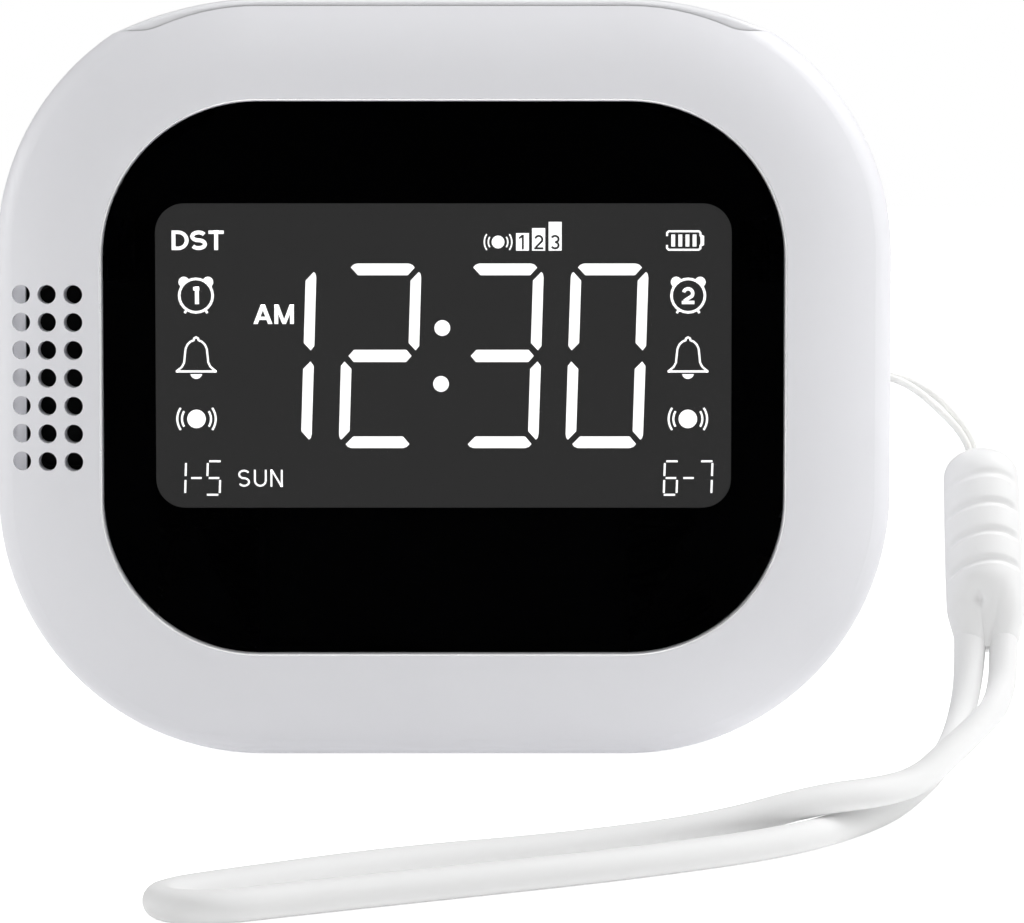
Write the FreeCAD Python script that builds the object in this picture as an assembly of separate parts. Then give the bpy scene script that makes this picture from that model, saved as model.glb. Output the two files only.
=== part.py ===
# Bed shaker alarm clock: a domed travel clock with a vibration motor inside and a wrist lanyard on its side.
# Millimetres. X runs to the right as the display is read, Y from the front to the back, Z up.
# The origin is the middle of the clock's footprint, on the surface that it stands on.
import FreeCAD, Part
import math
import os

V = FreeCAD.Vector
AWAY = V(0, 1, 0)
UP = V(0, 0, 1)

# Housing
body_width = 90.0
body_height = 77.1
body_depth = 34.0
corner_radius = 26.5
wall = 2.0
bezel_width = 11.0
dome_depth = 5.7
dome_side_radius = 3.7
parting_from_back = 10.0
rear_round = 6.0
lip_height = 1.5
lip_wall = 1.0
fit_gap = 0.1
overrun = 1.0
join_gap = 1e-6

# Window, lens and printed mask
window_chamfer = 0.25
window_drop = 0.3
window_apron = 0.5
lens_thickness = 1.35
lens_sunk = 0.15
lens_edge_gap = 0.05
mask_thickness = 0.2
ledge_width = 1.5
ledge_thickness = 1.4
view_side_margin = 5.25
view_top_margin = 10.15
view_bottom_margin = 14.55
view_radius = 2.9

# Display stack and main board
frame_gap = 0.3
panel_overlap = 1.0
panel_thickness = 1.8
panel_gap = 0.1
guide_thickness = 2.4
guide_margin = 1.0
frame_back_thickness = 2.1
board_thickness = 1.4
board_from_side = 8.0
board_from_top = 16.55
board_corner = 3.0
board_hole_from_side = 10.5
board_hole_from_top = 19.55
boss_diameter = 4.4
pilot_diameter = 1.7
screw_diameter = 2.0
screw_head_diameter = 3.6
screw_head_height = 1.3
screw_end_gap = 1.0
board_screw_length = 4.5
board_notch_gap = 1.0
chip_size = 9.0
chip_thickness = 1.2
chip_x = -8.0
chip_above_middle = 8.0

# Speaker behind the left bezel
hole_diameter = 1.9
hole_columns = 3
hole_rows = 7
hole_pitch = 2.78
hole_column_pitch = 2.68
hole_first_inset = 2.8
hole_blind_depth = 1.3
hole_open_inset = 3.1
hole_below_middle = 0.3
speaker_width = 9.0
speaker_end_gap = 2.05
speaker_depth = 4.0
speaker_rim = 0.9
speaker_side_gap = 0.4
speaker_behind_dome = 0.2
speaker_rib = 1.2
speaker_rib_gap = 0.1
speaker_rib_margin = 0.8
gasket_thickness = 0.5
gasket_band = 1.0
cone_dish = 0.5
cone_thickness = 0.3
magnet_width = 5.0
magnet_height_share = 0.5
magnet_thickness = 1.6

# Snooze bar on the top
bar_end_inset = 11.15
bar_front_inset = 2.75
bar_back_inset = 5.2
bar_corner = 5.5
bar_below_top = 0.8
bar_flat_short = 0.9
bar_end_radius = 36.0
bar_cross_radius = 43.0
bar_cross_side = 6.0
bar_edge = 0.4
bar_crown_share = 0.9
bar_sweep_margin_degrees = 2.0
bar_skin = 1.8
bar_rim = 1.6
bar_gap = 0.25
bar_travel = 0.5
bar_rim_drop = 7.2
shelf_below_bar = 8.2
shelf_thickness = 1.4
shelf_back_gap = 1.7
snooze_board_margin = 4.0
snooze_board_width = 8.0
snooze_board_thickness = 1.0
snooze_switch_from_end = 19.85
snooze_switch_size = 6.0
snooze_switch_height = 2.2
snooze_stem_diameter = 3.0
snooze_stem_bore_gap = 0.1
snooze_stem_lift = 0.8
snooze_stem_length = 2.5
snooze_post_diameter = 4.2
guide_pin_from_end = 7.35
guide_pin_diameter = 3.0
guide_pin_reach = 0.9
hook_from_end = 12.35
hook_length = 3.0
hook_thickness = 1.4
hook_barb = 0.8
hook_barb_height = 0.9

# Keys on the back
key_names = ["alarm_one_key", "alarm_two_key", "time_key", "down_key", "up_key", "vibration_key"]
key_row_from_side = 20.0
key_row_below_top = 16.55
key_between = 3.0
key_height = 5.0
key_corner = 2.4
key_gap = 0.2
key_flange = 0.7
key_flange_thickness = 0.7
key_sunk = 0.1
key_travel = 0.5
key_seat_gap = 0.1
key_panel_margin = 0.5
key_panel_rise = 2.3
key_panel_sunk = 0.8
key_stem_diameter = 2.0
key_stem_bore_gap = 0.1
key_stem_reach = 1.5
key_switch_size = 4.5
key_switch_height = 1.8
key_switch_gap = 0.6
key_board_margin = 0.75
key_board_height = 11.6
key_board_thickness = 1.2
small_board_corner = 1.0
peg_from_row = 4.4
peg_diameter = 1.4
peg_foot_diameter = 2.2
peg_head_diameter = 2.4
peg_head_height = 0.5

# Battery
battery_width = 50.0
battery_thickness = 7.0
battery_corner = 2.5
battery_motor_gap = 0.45
battery_key_gap = 1.8
battery_pad_thickness = 0.5
battery_rib = 1.2
battery_rib_height = 4.0
battery_rib_gap = 0.2

# Charging socket
socket_from_post = 11.0
socket_above_floor = 14.0
socket_width = 8.94
socket_height = 3.26
socket_depth = 7.35
socket_wall = 0.3
socket_sunk = 0.8
socket_corner = 1.4
socket_gap = 0.25
tongue_thickness = 0.7
tongue_width = 6.7
tongue_length = 4.6
charge_board_width = 11.0
charge_board_depth = 12.0
charge_board_thickness = 1.0
charge_rail = 1.2

# Vibration motor
motor_x = 8.0
motor_above_floor = 17.0
motor_diameter = 24.4
motor_edge = 0.8
motor_seat = 1.0
motor_ring_wall = 1.2
motor_ring_height = 3.0
motor_ring_gap = 0.1
motor_neck_diameter = 6.0
motor_neck_length = 0.9
shaft_diameter = 2.0
shaft_bore_gap = 0.05
shaft_in_can = 2.5
weight_radius = 11.0
weight_thickness = 5.2
weight_hub_diameter = 6.0
weight_before_clamp = 0.6
weight_behind_board = 2.1
clamp_thickness = 1.2
clamp_width = 9.0
clamp_arm = 15.5
clamp_ring_diameter = 21.0
clamp_hole_diameter = 9.0
clamp_post_diameter = 4.5
clamp_screw_length = 6.0

# Screws that close the case
post_from_side = 13.0
post_from_top = 13.05
post_diameter = 5.0
post_split_gap = 0.1
case_screw_head = 4.0
case_screw_head_height = 1.6
case_screw_sink = 7.6
case_screw_sink_gap = 0.3
case_screw_length = 10.0
case_screw_bore_gap = 0.2

# Feet
foot_x = 12.5
foot_width = 9.0
foot_end_gap = 2.15
foot_corner = 4.0
foot_thickness = 0.85
foot_proud = 0.2

# Lanyard seat in the right side
pocket_depth = 3.4
pocket_width = 4.8
pocket_height = 8.0
pocket_corner = 2.0
pocket_wall = 1.2
pocket_below_middle = 0.5
pin_diameter = 1.4
pin_from_side = 1.4
pin_seat = 1.0

# Lanyard
string_diameter = 0.7
strap_diameter = 2.7
sleeve_top = V(55.6, 2.0, 30.2)
sleeve_bottom = V(55.2, -7.0, 12.4)
sleeve_neck_diameter = 2.8
sleeve_top_diameter = 7.6
sleeve_low_diameter = 7.9
sleeve_end_diameter = 6.9
sleeve_dome = 3.0
sleeve_first_groove = 3.9
sleeve_groove_pitch = 3.15
sleeve_grooves = 4
sleeve_groove_depth = 0.45
sleeve_groove_step = 0.35
sleeve_taper = 4.2
sleeve_end_round = 0.9
arc_share = 0.45

# Places that follow from the sizes above
front = -body_depth / 2
back = body_depth / 2
floor_z = foot_proud
middle_z = floor_z + body_height / 2
top_z = floor_z + body_height
dome_y = front + dome_depth
parting_y = back - parting_from_back
mask_front_y = front + lens_sunk + lens_thickness
ledge_y = mask_front_y + mask_thickness
ledge_back_y = ledge_y + ledge_thickness
board_y = ledge_y + panel_thickness + guide_thickness + frame_back_thickness
board_back_y = board_y + board_thickness
rear_inner_y = back - wall


def line(a, b):
    return Part.makeLine(a, b)


def rounded_wire(width, height, radius, centre, across, along):
    """Rounded rectangle about a centre, its width along one direction and its height along another."""
    hw, hh = width / 2, height / 2

    def at(u, v):
        return centre + across * u + along * v

    slant = radius * (1 - math.sqrt(0.5))
    edges = []
    corners = [(1, -1), (1, 1), (-1, 1), (-1, -1)]
    for index, (sx, sz) in enumerate(corners):
        side_end = at(sx * hw, sz * (hh - radius))
        flat_end = at(sx * (hw - radius), sz * hh)
        middle = at(sx * (hw - slant), sz * (hh - slant))
        first, last = (flat_end, side_end) if sx * sz < 0 else (side_end, flat_end)
        edges.append(Part.Arc(first, middle, last).toShape())
        nx, nz = corners[(index + 1) % 4]
        near_side = at(nx * hw, nz * (hh - radius))
        near_flat = at(nx * (hw - radius), nz * hh)
        next_first = near_flat if nx * nz < 0 else near_side
        if (next_first - last).Length > join_gap:
            edges.append(line(last, next_first))
    return Part.Wire(edges)


def upright_slab(width, height, radius, x, z, y0, y1):
    """Plate with rounded corners that faces the front."""
    wire = rounded_wire(width, height, radius, V(x, y0, z), V(1, 0, 0), UP)
    return Part.Face(wire).extrude(V(0, y1 - y0, 0))


def flat_slab(width, depth, radius, x, y, z0, z1):
    """Plate with rounded corners that lies flat."""
    wire = rounded_wire(width, depth, radius, V(x, y, z0), V(1, 0, 0), AWAY)
    return Part.Face(wire).extrude(V(0, 0, z1 - z0))


def box(x0, x1, y0, y1, z0, z1):
    return Part.makeBox(x1 - x0, y1 - y0, z1 - z0, V(x0, y0, z0))


def rod(diameter, start, end):
    return Part.makeCylinder(diameter / 2, (end - start).Length, start, end - start)


def fuse(shapes):
    return shapes[0].multiFuse(shapes[1:]).removeSplitter()


def group(shapes):
    return Part.makeCompound(shapes)


def inset_block(inset, y0, y1):
    """The body's outline, drawn in by an inset, from one depth to another."""
    return upright_slab(body_width - 2 * inset, body_height - 2 * inset, corner_radius - inset,
                        0, middle_z, y0, y1)


def around_body(section):
    """Carry a section face once round the outline. Its X is the distance inwards and its Y the depth."""
    pieces = []
    for quarter in range(4):
        angle = math.radians(90 * quarter)
        outward = V(math.cos(angle), 0, math.sin(angle))
        along = V(-math.sin(angle), 0, math.cos(angle))
        reach = (body_height if quarter % 2 else body_width) / 2
        half_run = (body_width if quarter % 2 else body_height) / 2 - corner_radius
        start = V(0, 0, middle_z) + outward * reach - along * half_run
        face = section.copy()
        face.Placement = FreeCAD.Placement(start, FreeCAD.Rotation(AWAY, 180 - 90 * quarter))
        pieces.append(face.extrude(along * (2 * half_run)))
        turned = face.copy()
        turned.translate(along * (2 * half_run))
        pivot = start + along * (2 * half_run) - outward * corner_radius
        pieces.append(turned.revolve(pivot, V(0, -1, 0), 90))
    return fuse(pieces)


def broad_radius(side_radius, width, depth):
    """Radius of the broad arc that runs level to the window and meets the side's small arc smoothly."""
    return (width ** 2 + depth ** 2 - 2 * width * side_radius) / (2 * (depth - side_radius))


def dome_height(inset):
    """Place of the outer dome's surface in depth, at a distance in from the outline."""
    broad = broad_radius(dome_side_radius, bezel_width, dome_depth)
    run = bezel_width - inset
    if run < (bezel_width - dome_side_radius) * broad / (broad - dome_side_radius):
        return front + broad - math.sqrt(broad ** 2 - run ** 2)
    return dome_y - math.sqrt(dome_side_radius ** 2 - (dome_side_radius - inset) ** 2)


def dome_arcs(skin, depth):
    """The dome's profile, drawn in by a skin: a small arc at the side, then a broad one up to the window."""
    width = bezel_width - skin
    small = dome_side_radius * depth / dome_depth
    broad = broad_radius(small, width, depth)
    small_centre = V(skin + small, dome_y, 0)
    broad_centre = V(bezel_width, dome_y - depth + broad, 0)
    towards = (small_centre - broad_centre).normalize()
    joint = broad_centre + towards * broad
    end = V(bezel_width, dome_y - depth, 0)
    small_middle = small_centre + (V(-1, 0, 0) + towards).normalize() * small
    broad_middle = broad_centre + ((joint - broad_centre) + (end - broad_centre)).normalize() * broad
    return [Part.Arc(V(skin, dome_y, 0), small_middle, joint).toShape(),
            Part.Arc(joint, broad_middle, end).toShape()]


def snooze_plan(growth, z0, z1):
    centre_y = front + bar_front_inset + bar_depth / 2
    return flat_slab(bar_width + 2 * growth, bar_depth + 2 * growth, bar_corner + growth,
                     0, centre_y, z0, z1)


def post_places():
    return [(sx * post_x, middle_z + sz * post_z) for sx in (-1, 1) for sz in (-1, 1)]


def board_places():
    return [(sx * board_hole_x, middle_z + sz * board_hole_z) for sx in (-1, 1) for sz in (-1, 1)]


window_width = body_width - 2 * bezel_width
window_height = body_height - 2 * bezel_width
view_width = window_width - 2 * view_side_margin
view_height = window_height - view_top_margin - view_bottom_margin
window_z = middle_z - window_drop
view_z = window_z + (view_bottom_margin - view_top_margin) / 2
panel_width = view_width + 2 * panel_overlap
panel_height = view_height + 2 * panel_overlap
panel_back_y = ledge_y + panel_thickness
guide_back_y = panel_back_y + guide_thickness
board_half_width = body_width / 2 - board_from_side
board_half_height = body_height / 2 - board_from_top
board_hole_x = body_width / 2 - board_hole_from_side
board_hole_z = body_height / 2 - board_hole_from_top
post_x = body_width / 2 - post_from_side
post_z = body_height / 2 - post_from_top
bar_width = body_width - 2 * bar_end_inset
bar_depth = body_depth - bar_front_inset - bar_back_inset
bar_flat_half = body_width / 2 - corner_radius - bar_flat_short
bar_cross_flat = bar_depth - 2 * bar_cross_side
bar_top = top_z - bar_below_top
bar_underside = bar_top - bar_skin
bar_middle_y = front + bar_front_inset + bar_depth / 2
bar_rim_z = bar_top - bar_rim_drop
shelf_top = bar_top - shelf_below_bar
shelf_bottom = shelf_top - shelf_thickness
hook_x = bar_width / 2 - hook_from_end
guide_pin_x = bar_width / 2 - guide_pin_from_end
snooze_switch_x = bar_width / 2 - snooze_switch_from_end
snooze_board_length = 2 * (snooze_switch_x + snooze_board_margin)
snooze_board_top = shelf_top + snooze_board_thickness
speaker_height = body_height - 2 * corner_radius - 2 * speaker_end_gap
speaker_corner = min(speaker_width, speaker_height) / 2 - 2 * speaker_rim
speaker_z = middle_z - hole_below_middle
speaker_x = -body_width / 2 + wall + speaker_side_gap + speaker_width / 2
speaker_front = dome_y - speaker_behind_dome
magnet_height = speaker_height * magnet_height_share
pocket_z = middle_z - pocket_below_middle
pin_x = body_width / 2 - pin_from_side
key_row_width = body_width - 2 * key_row_from_side
key_pitch = key_row_width / (len(key_names) - 1)
key_width = key_pitch - key_between
key_z = top_z - key_row_below_top
key_panel_width = key_row_width + key_width + 2 * key_panel_margin
key_panel_height = key_height + 2 * key_panel_rise
key_panel_y = back - key_panel_sunk
key_flange_y = rear_inner_y - key_seat_gap - key_flange_thickness
key_switch_y = key_flange_y - key_switch_gap
key_board_back_y = key_switch_y - key_switch_height
key_board_y = key_board_back_y - key_board_thickness
key_board_width = key_row_width + key_switch_size + 2 * key_board_margin
peg_x = key_row_width / 2 - key_pitch / 2
socket_x = socket_from_post - post_x
socket_z = floor_z + socket_above_floor
motor_z = floor_z + motor_above_floor
motor_back_y = rear_inner_y - motor_seat
weight_back_y = board_back_y + weight_behind_board + weight_thickness
motor_front_y = weight_back_y + weight_before_clamp + clamp_thickness
motor_ring_radius = motor_diameter / 2 + motor_ring_gap + motor_ring_wall
shaft_end_y = motor_front_y + shaft_in_can
battery_low_z = motor_z + motor_ring_radius + battery_motor_gap
battery_high_z = key_z - key_board_height / 2 - battery_key_gap
battery_height = battery_high_z - battery_low_z
battery_z = (battery_high_z + battery_low_z) / 2
battery_back_y = rear_inner_y - battery_pad_thickness
foot_length = parting_y - dome_y - 2 * foot_end_gap
foot_y = (parting_y + dome_y) / 2


def front_section():
    """Bezel dome, side wall, a flat apron round the window and the lens ledge in one moulded section."""
    outer = dome_arcs(0, dome_depth)
    inner = dome_arcs(wall, dome_y - ledge_back_y)
    corners = [
        V(bezel_width, front, 0),
        V(bezel_width + window_apron, front, 0),
        V(bezel_width + window_apron, ledge_y, 0),
        V(bezel_width + ledge_width, ledge_y, 0),
        V(bezel_width + ledge_width, ledge_back_y, 0),
        V(bezel_width, ledge_back_y, 0),
    ]
    walls = [V(wall, dome_y, 0), V(wall, parting_y, 0), V(0, parting_y, 0), V(0, dome_y, 0)]
    edges = outer + inner
    edges += [line(a, b) for a, b in zip(corners, corners[1:])]
    edges += [line(a, b) for a, b in zip(walls, walls[1:])]
    return Part.Face(Part.Wire(Part.__sortEdges__(edges)))


def speaker_holes():
    """Rows of round holes down the left bezel. The outer column meets the side wall and is open only past it."""
    past_wall = box(-body_width / 2 + hole_open_inset, 0, front, dome_y, floor_z, top_z)
    drills = []
    for column in range(hole_columns):
        inset = hole_first_inset + column * hole_column_pitch
        surface_y = dome_height(inset)
        for row in range(hole_rows):
            z = speaker_z + (row - (hole_rows - 1) / 2) * hole_pitch
            place = V(-body_width / 2 + inset, 0, z)
            start = place + AWAY * (front - overrun)
            if column == 0:
                drills.append(rod(hole_diameter, start, place + AWAY * (surface_y + hole_blind_depth)))
            drills.append(rod(hole_diameter, start, place + AWAY * dome_y).common(past_wall))
    return group(drills)


def window_pocket():
    """The lens's pocket, with a chamfer round its mouth."""
    mouth = window_slab(-window_chamfer, front - overrun, front + window_chamfer)
    rim = [edge for edge in mouth.Edges if edge.BoundBox.YMin > front]
    return mouth.makeChamfer(window_chamfer, rim).fuse(window_slab(0, front, ledge_y))


def lanyard_pocket():
    block = box(body_width / 2 - pocket_depth - pocket_wall, body_width / 2,
                -pocket_width / 2 - pocket_wall, pocket_width / 2 + pocket_wall,
                pocket_z - pocket_height / 2 - pocket_wall, pocket_z + pocket_height / 2 + pocket_wall)
    wire = rounded_wire(pocket_width, pocket_height, pocket_corner,
                        V(body_width / 2 - pocket_depth, 0, pocket_z), AWAY, UP)
    hollow = Part.Face(wire).extrude(V(pocket_depth + overrun, 0, 0))
    return block.common(room), hollow


def foot_slab(z0, z1, side):
    return flat_slab(foot_width, foot_length, foot_corner, side * foot_x, foot_y, z0, z1)


def lanyard_pin():
    half = pocket_height / 2 + pin_seat
    return rod(pin_diameter, V(pin_x, 0, pocket_z - half), V(pin_x, 0, pocket_z + half))


def hook_slot(side, growth, z0, z1):
    x = side * hook_x
    return box(x - hook_length / 2 - growth, x + hook_length / 2 + growth,
               bar_middle_y - hook_thickness / 2 - growth,
               bar_middle_y + hook_thickness / 2 + growth, z0, z1)


def front_housing():
    shell = around_body(front_section())
    solids = [shell]
    shelf = box(-body_width / 2, body_width / 2, front, parting_y - shelf_back_gap, shelf_bottom, shelf_top)
    solids.append(shelf.common(room))
    pocket_block, pocket_hollow = lanyard_pocket()
    solids.append(pocket_block)
    for x, z in post_places():
        post = rod(post_diameter, V(x, ledge_y, z), V(x, parting_y - post_split_gap, z))
        solids.append(post.common(room))
    for x, z in board_places():
        solids.append(rod(boss_diameter, V(x, ledge_y + ledge_thickness / 2, z), V(x, board_y, z)))
    for side in (-1, 1):
        rib_z = speaker_z + side * (speaker_height / 2 + speaker_rib_gap + speaker_rib / 2)
        rib = box(-body_width / 2, speaker_x + speaker_width / 2, ledge_y,
                  speaker_front + speaker_depth + speaker_rib_margin,
                  rib_z - speaker_rib / 2, rib_z + speaker_rib / 2)
        solids.append(rib.common(room))
    whole = fuse(solids)
    cuts = [snooze_plan(bar_gap, shelf_top, top_z + overrun), pocket_hollow, lanyard_pin(), speaker_holes(),
            window_pocket()]
    for side in (-1, 1):
        cuts.append(foot_slab(floor_z - overrun, foot_thickness, side))
        pin = side * guide_pin_x
        cuts.append(rod(guide_pin_diameter + 2 * fit_gap, V(pin, bar_middle_y, shelf_bottom - overrun),
                        V(pin, bar_middle_y, shelf_top + overrun)))
        cuts.append(hook_slot(side, 2 * fit_gap, shelf_bottom - overrun, shelf_top + overrun))
    for x, z in post_places():
        depth = case_screw_length + screw_end_gap
        cuts.append(rod(pilot_diameter, V(x, parting_y - depth, z), V(x, parting_y, z)))
    for x, z in board_places():
        cuts.append(rod(pilot_diameter, V(x, board_y - board_screw_length, z), V(x, board_y + overrun, z)))
    return whole.cut(group(cuts)).removeSplitter()


def room_section():
    """Half section of the space inside the middle of the skin, out to the corners' axis."""
    half = wall / 2
    reach = corner_radius
    depth = (dome_depth + dome_y - ledge_back_y) / 2
    round_middle = rear_round - half
    slant = 1 - math.sqrt(0.5)
    dome = dome_arcs(half, depth)
    rear_arc = Part.Arc(V(half, back - rear_round, 0),
                        V(half + round_middle * slant, back - rear_round + round_middle * (1 - slant), 0),
                        V(rear_round, back - half, 0)).toShape()
    corners = [V(bezel_width, dome_y - depth, 0), V(reach, dome_y - depth, 0), V(reach, back - half, 0),
               V(rear_round, back - half, 0)]
    edges = dome + [rear_arc, line(V(half, back - rear_round, 0), V(half, dome_y, 0))]
    edges += [line(a, b) for a, b in zip(corners, corners[1:])]
    return Part.Face(Part.Wire(Part.__sortEdges__(edges)))


def room_in_skin():
    depth = (dome_depth + dome_y - ledge_back_y) / 2
    middle = box(-body_width / 2 + corner_radius, body_width / 2 - corner_radius,
                 dome_y - depth, back - wall / 2, floor_z + corner_radius, top_z - corner_radius)
    return fuse([around_body(room_section()), middle])


room = room_in_skin()


def rear_section():
    """Side wall with its locating lip, rounded rear edge and back wall."""
    inner_round = rear_round - wall
    slant = 1 - math.sqrt(0.5)
    inner = wall + fit_gap
    lip_y = parting_y - lip_height
    reach = corner_radius
    outer_arc = Part.Arc(V(0, back - rear_round, 0), V(rear_round * slant, back - rear_round * slant, 0),
                         V(rear_round, back, 0)).toShape()
    inner_arc = Part.Arc(V(rear_round, rear_inner_y, 0),
                         V(wall + inner_round * slant, rear_inner_y - inner_round * slant, 0),
                         V(wall, back - rear_round, 0)).toShape()
    first = [V(rear_round, back, 0), V(reach, back, 0), V(reach, rear_inner_y, 0),
             V(rear_round, rear_inner_y, 0)]
    second = [
        V(wall, back - rear_round, 0), V(wall, parting_y + lip_height, 0),
        V(inner + lip_wall, parting_y + lip_height, 0), V(inner + lip_wall, lip_y, 0),
        V(inner, lip_y, 0), V(inner, parting_y, 0), V(0, parting_y, 0), V(0, back - rear_round, 0),
    ]
    edges = [outer_arc]
    edges += [line(a, b) for a, b in zip(first, first[1:])]
    edges.append(inner_arc)
    edges += [line(a, b) for a, b in zip(second, second[1:])]
    return Part.Face(Part.Wire(Part.__sortEdges__(edges)))


def key_places():
    return [index * key_pitch - key_row_width / 2 for index in range(len(key_names))]


def peg_places():
    return [(sx * peg_x, key_z + sz * peg_from_row) for sx in (-1, 1) for sz in (-1, 1)]


def rear_housing():
    shell = around_body(rear_section())
    middle = box(-body_width / 2 + corner_radius, body_width / 2 - corner_radius, rear_inner_y, back,
                 floor_z + corner_radius, top_z - corner_radius)
    solids = [shell, middle]
    shelf = box(-body_width / 2, body_width / 2, parting_y + lip_height, back, shelf_bottom, shelf_top)
    solids.append(shelf.common(room))
    for x, z in post_places():
        solids.append(rod(post_diameter + 2 * case_screw_sink_gap, V(x, parting_y, z), V(x, rear_inner_y, z)))
    for side in (-1, 1):
        rib_x = side * (battery_width / 2 + battery_rib_gap + battery_rib / 2)
        solids.append(box(rib_x - battery_rib / 2, rib_x + battery_rib / 2,
                          rear_inner_y - battery_rib_height, rear_inner_y,
                          battery_z - battery_height / 4, battery_z + battery_height / 4))
        rib_z = battery_z + side * (battery_height / 2 + battery_rib_gap + battery_rib / 2)
        solids.append(box(-battery_width / 4, battery_width / 4,
                          rear_inner_y - battery_rib_height, rear_inner_y,
                          rib_z - battery_rib / 2, rib_z + battery_rib / 2))
        rail_x = socket_x + side * (charge_board_width / 2 - charge_rail / 2)
        rail = box(rail_x - charge_rail / 2, rail_x + charge_rail / 2, parting_y, back,
                   floor_z, socket_z - charge_board_thickness)
        solids.append(rail.common(room))
        post = V(motor_x + side * clamp_arm, 0, motor_z)
        solids.append(rod(clamp_post_diameter, post + AWAY * motor_front_y, post + AWAY * rear_inner_y))
    for x, z in peg_places():
        peg = V(x, 0, z)
        solids.append(rod(peg_foot_diameter, peg + AWAY * key_board_back_y, peg + AWAY * rear_inner_y))
        solids.append(rod(peg_diameter, peg + AWAY * key_board_y, peg + AWAY * key_board_back_y))
        solids.append(rod(peg_head_diameter, peg + AWAY * (key_board_y - peg_head_height),
                          peg + AWAY * key_board_y))
    motor_axis = V(motor_x, 0, motor_z)
    solids.append(rod(2 * motor_ring_radius, motor_axis + AWAY * (motor_back_y - motor_ring_height),
                      motor_axis + AWAY * rear_inner_y))
    whole = fuse(solids)
    ring_bore = motor_diameter + 2 * motor_ring_gap
    seat_bore = motor_diameter - 2 * motor_ring_wall
    cuts = [
        rod(ring_bore, motor_axis + AWAY * (motor_front_y - overrun), motor_axis + AWAY * motor_back_y),
        rod(seat_bore, motor_axis + AWAY * motor_front_y, motor_axis + AWAY * rear_inner_y),
        snooze_plan(bar_gap, shelf_top, top_z + overrun),
        upright_slab(key_panel_width, key_panel_height, key_panel_height / 2, 0, key_z,
                     key_panel_y, back + overrun),
        upright_slab(socket_width + 2 * socket_gap, socket_height + 2 * socket_gap,
                     socket_corner + socket_gap, socket_x, socket_z + socket_height / 2,
                     rear_inner_y - overrun, back + overrun),
    ]
    for x in key_places():
        cuts.append(upright_slab(key_width + 2 * key_gap, key_height + 2 * key_gap, key_corner + key_gap,
                                 x, key_z, rear_inner_y - overrun, back))
    for x, z in post_places():
        cuts.append(rod(screw_diameter + 2 * case_screw_bore_gap, V(x, parting_y - lip_height, z),
                        V(x, back, z)))
        cuts.append(rod(case_screw_head + 2 * case_screw_sink_gap, V(x, back - case_screw_sink, z),
                        V(x, back + overrun, z)))
    for side in (-1, 1):
        post = V(motor_x + side * clamp_arm, 0, motor_z)
        cuts.append(rod(pilot_diameter, post + AWAY * (motor_front_y - overrun),
                        post + AWAY * (motor_front_y + clamp_screw_length)))
    return whole.cut(group(cuts)).removeSplitter()


def window_slab(gap, y0, y1):
    """Slab with the window's outline, smaller all round by a gap."""
    return upright_slab(window_width - 2 * gap, window_height - 2 * gap, corner_radius - bezel_width - gap,
                        0, window_z, y0, y1)


def display_lens():
    return window_slab(lens_edge_gap, front + lens_sunk, mask_front_y)


def window_mask():
    view = upright_slab(view_width, view_height, view_radius, 0, view_z,
                        mask_front_y - overrun, ledge_y + overrun)
    return window_slab(lens_edge_gap, mask_front_y, ledge_y).cut(view)


def display_panel():
    return box(-panel_width / 2, panel_width / 2, ledge_y, panel_back_y,
               view_z - panel_height / 2, view_z + panel_height / 2)


def light_guide():
    half_w = panel_width / 2 - guide_margin
    half_h = panel_height / 2 - guide_margin
    return box(-half_w, half_w, panel_back_y, guide_back_y, view_z - half_h, view_z + half_h)


def display_frame():
    """Moulded holder that fills the ledge's opening and carries the panel and its light guide."""
    inset = bezel_width + ledge_width + frame_gap
    frame = inset_block(inset, ledge_y, board_y)
    pocket = box(-panel_width / 2 - panel_gap, panel_width / 2 + panel_gap, ledge_y - overrun, panel_back_y,
                 view_z - panel_height / 2 - panel_gap, view_z + panel_height / 2 + panel_gap)
    half_w = panel_width / 2 - guide_margin + panel_gap
    half_h = panel_height / 2 - guide_margin + panel_gap
    well = box(-half_w, half_w, ledge_y - overrun, guide_back_y, view_z - half_h, view_z + half_h)
    rest = view_z - panel_height / 2 - (middle_z - body_height / 2 + inset)
    chin = upright_slab(panel_width / 2, rest / 2, rest / 8, 0, view_z - panel_height / 2 - rest / 2,
                        ledge_y - overrun, board_y + overrun)
    return frame.cut(group([pocket, well, chin]))


def main_board():
    board = upright_slab(2 * board_half_width, 2 * board_half_height, board_corner, 0, middle_z,
                         board_y, board_back_y)
    notch_half = speaker_height / 2 + speaker_rib_gap + speaker_rib + board_notch_gap
    notch = box(-board_half_width - overrun, speaker_x + speaker_width / 2 + board_notch_gap,
                board_y - overrun, board_back_y + overrun, speaker_z - notch_half, speaker_z + notch_half)
    holes = [rod(screw_diameter + 2 * fit_gap, V(x, board_y - overrun, z), V(x, board_back_y + overrun, z))
             for x, z in board_places()]
    return board.cut(group([notch] + holes))


def plain_screw(head, height, diameter, length, seat, direction):
    """Round head on its seat with a plain shank beyond it."""
    return rod(head, seat - direction * height, seat).fuse(rod(diameter, seat, seat + direction * length))


def board_screws():
    shank = board_thickness + board_screw_length - screw_end_gap
    return group([plain_screw(screw_head_diameter, screw_head_height, pilot_diameter, shank,
                              V(x, board_back_y, z), V(0, -1, 0)) for x, z in board_places()])


def board_chips():
    chips = []
    for step in (0, 1):
        x = chip_x + step * 2 * chip_size
        z = middle_z + chip_above_middle
        chips.append(box(x - chip_size / 2, x + chip_size / 2, board_back_y, board_back_y + chip_thickness,
                         z - chip_size / 2, z + chip_size / 2))
    return group(chips)


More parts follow.
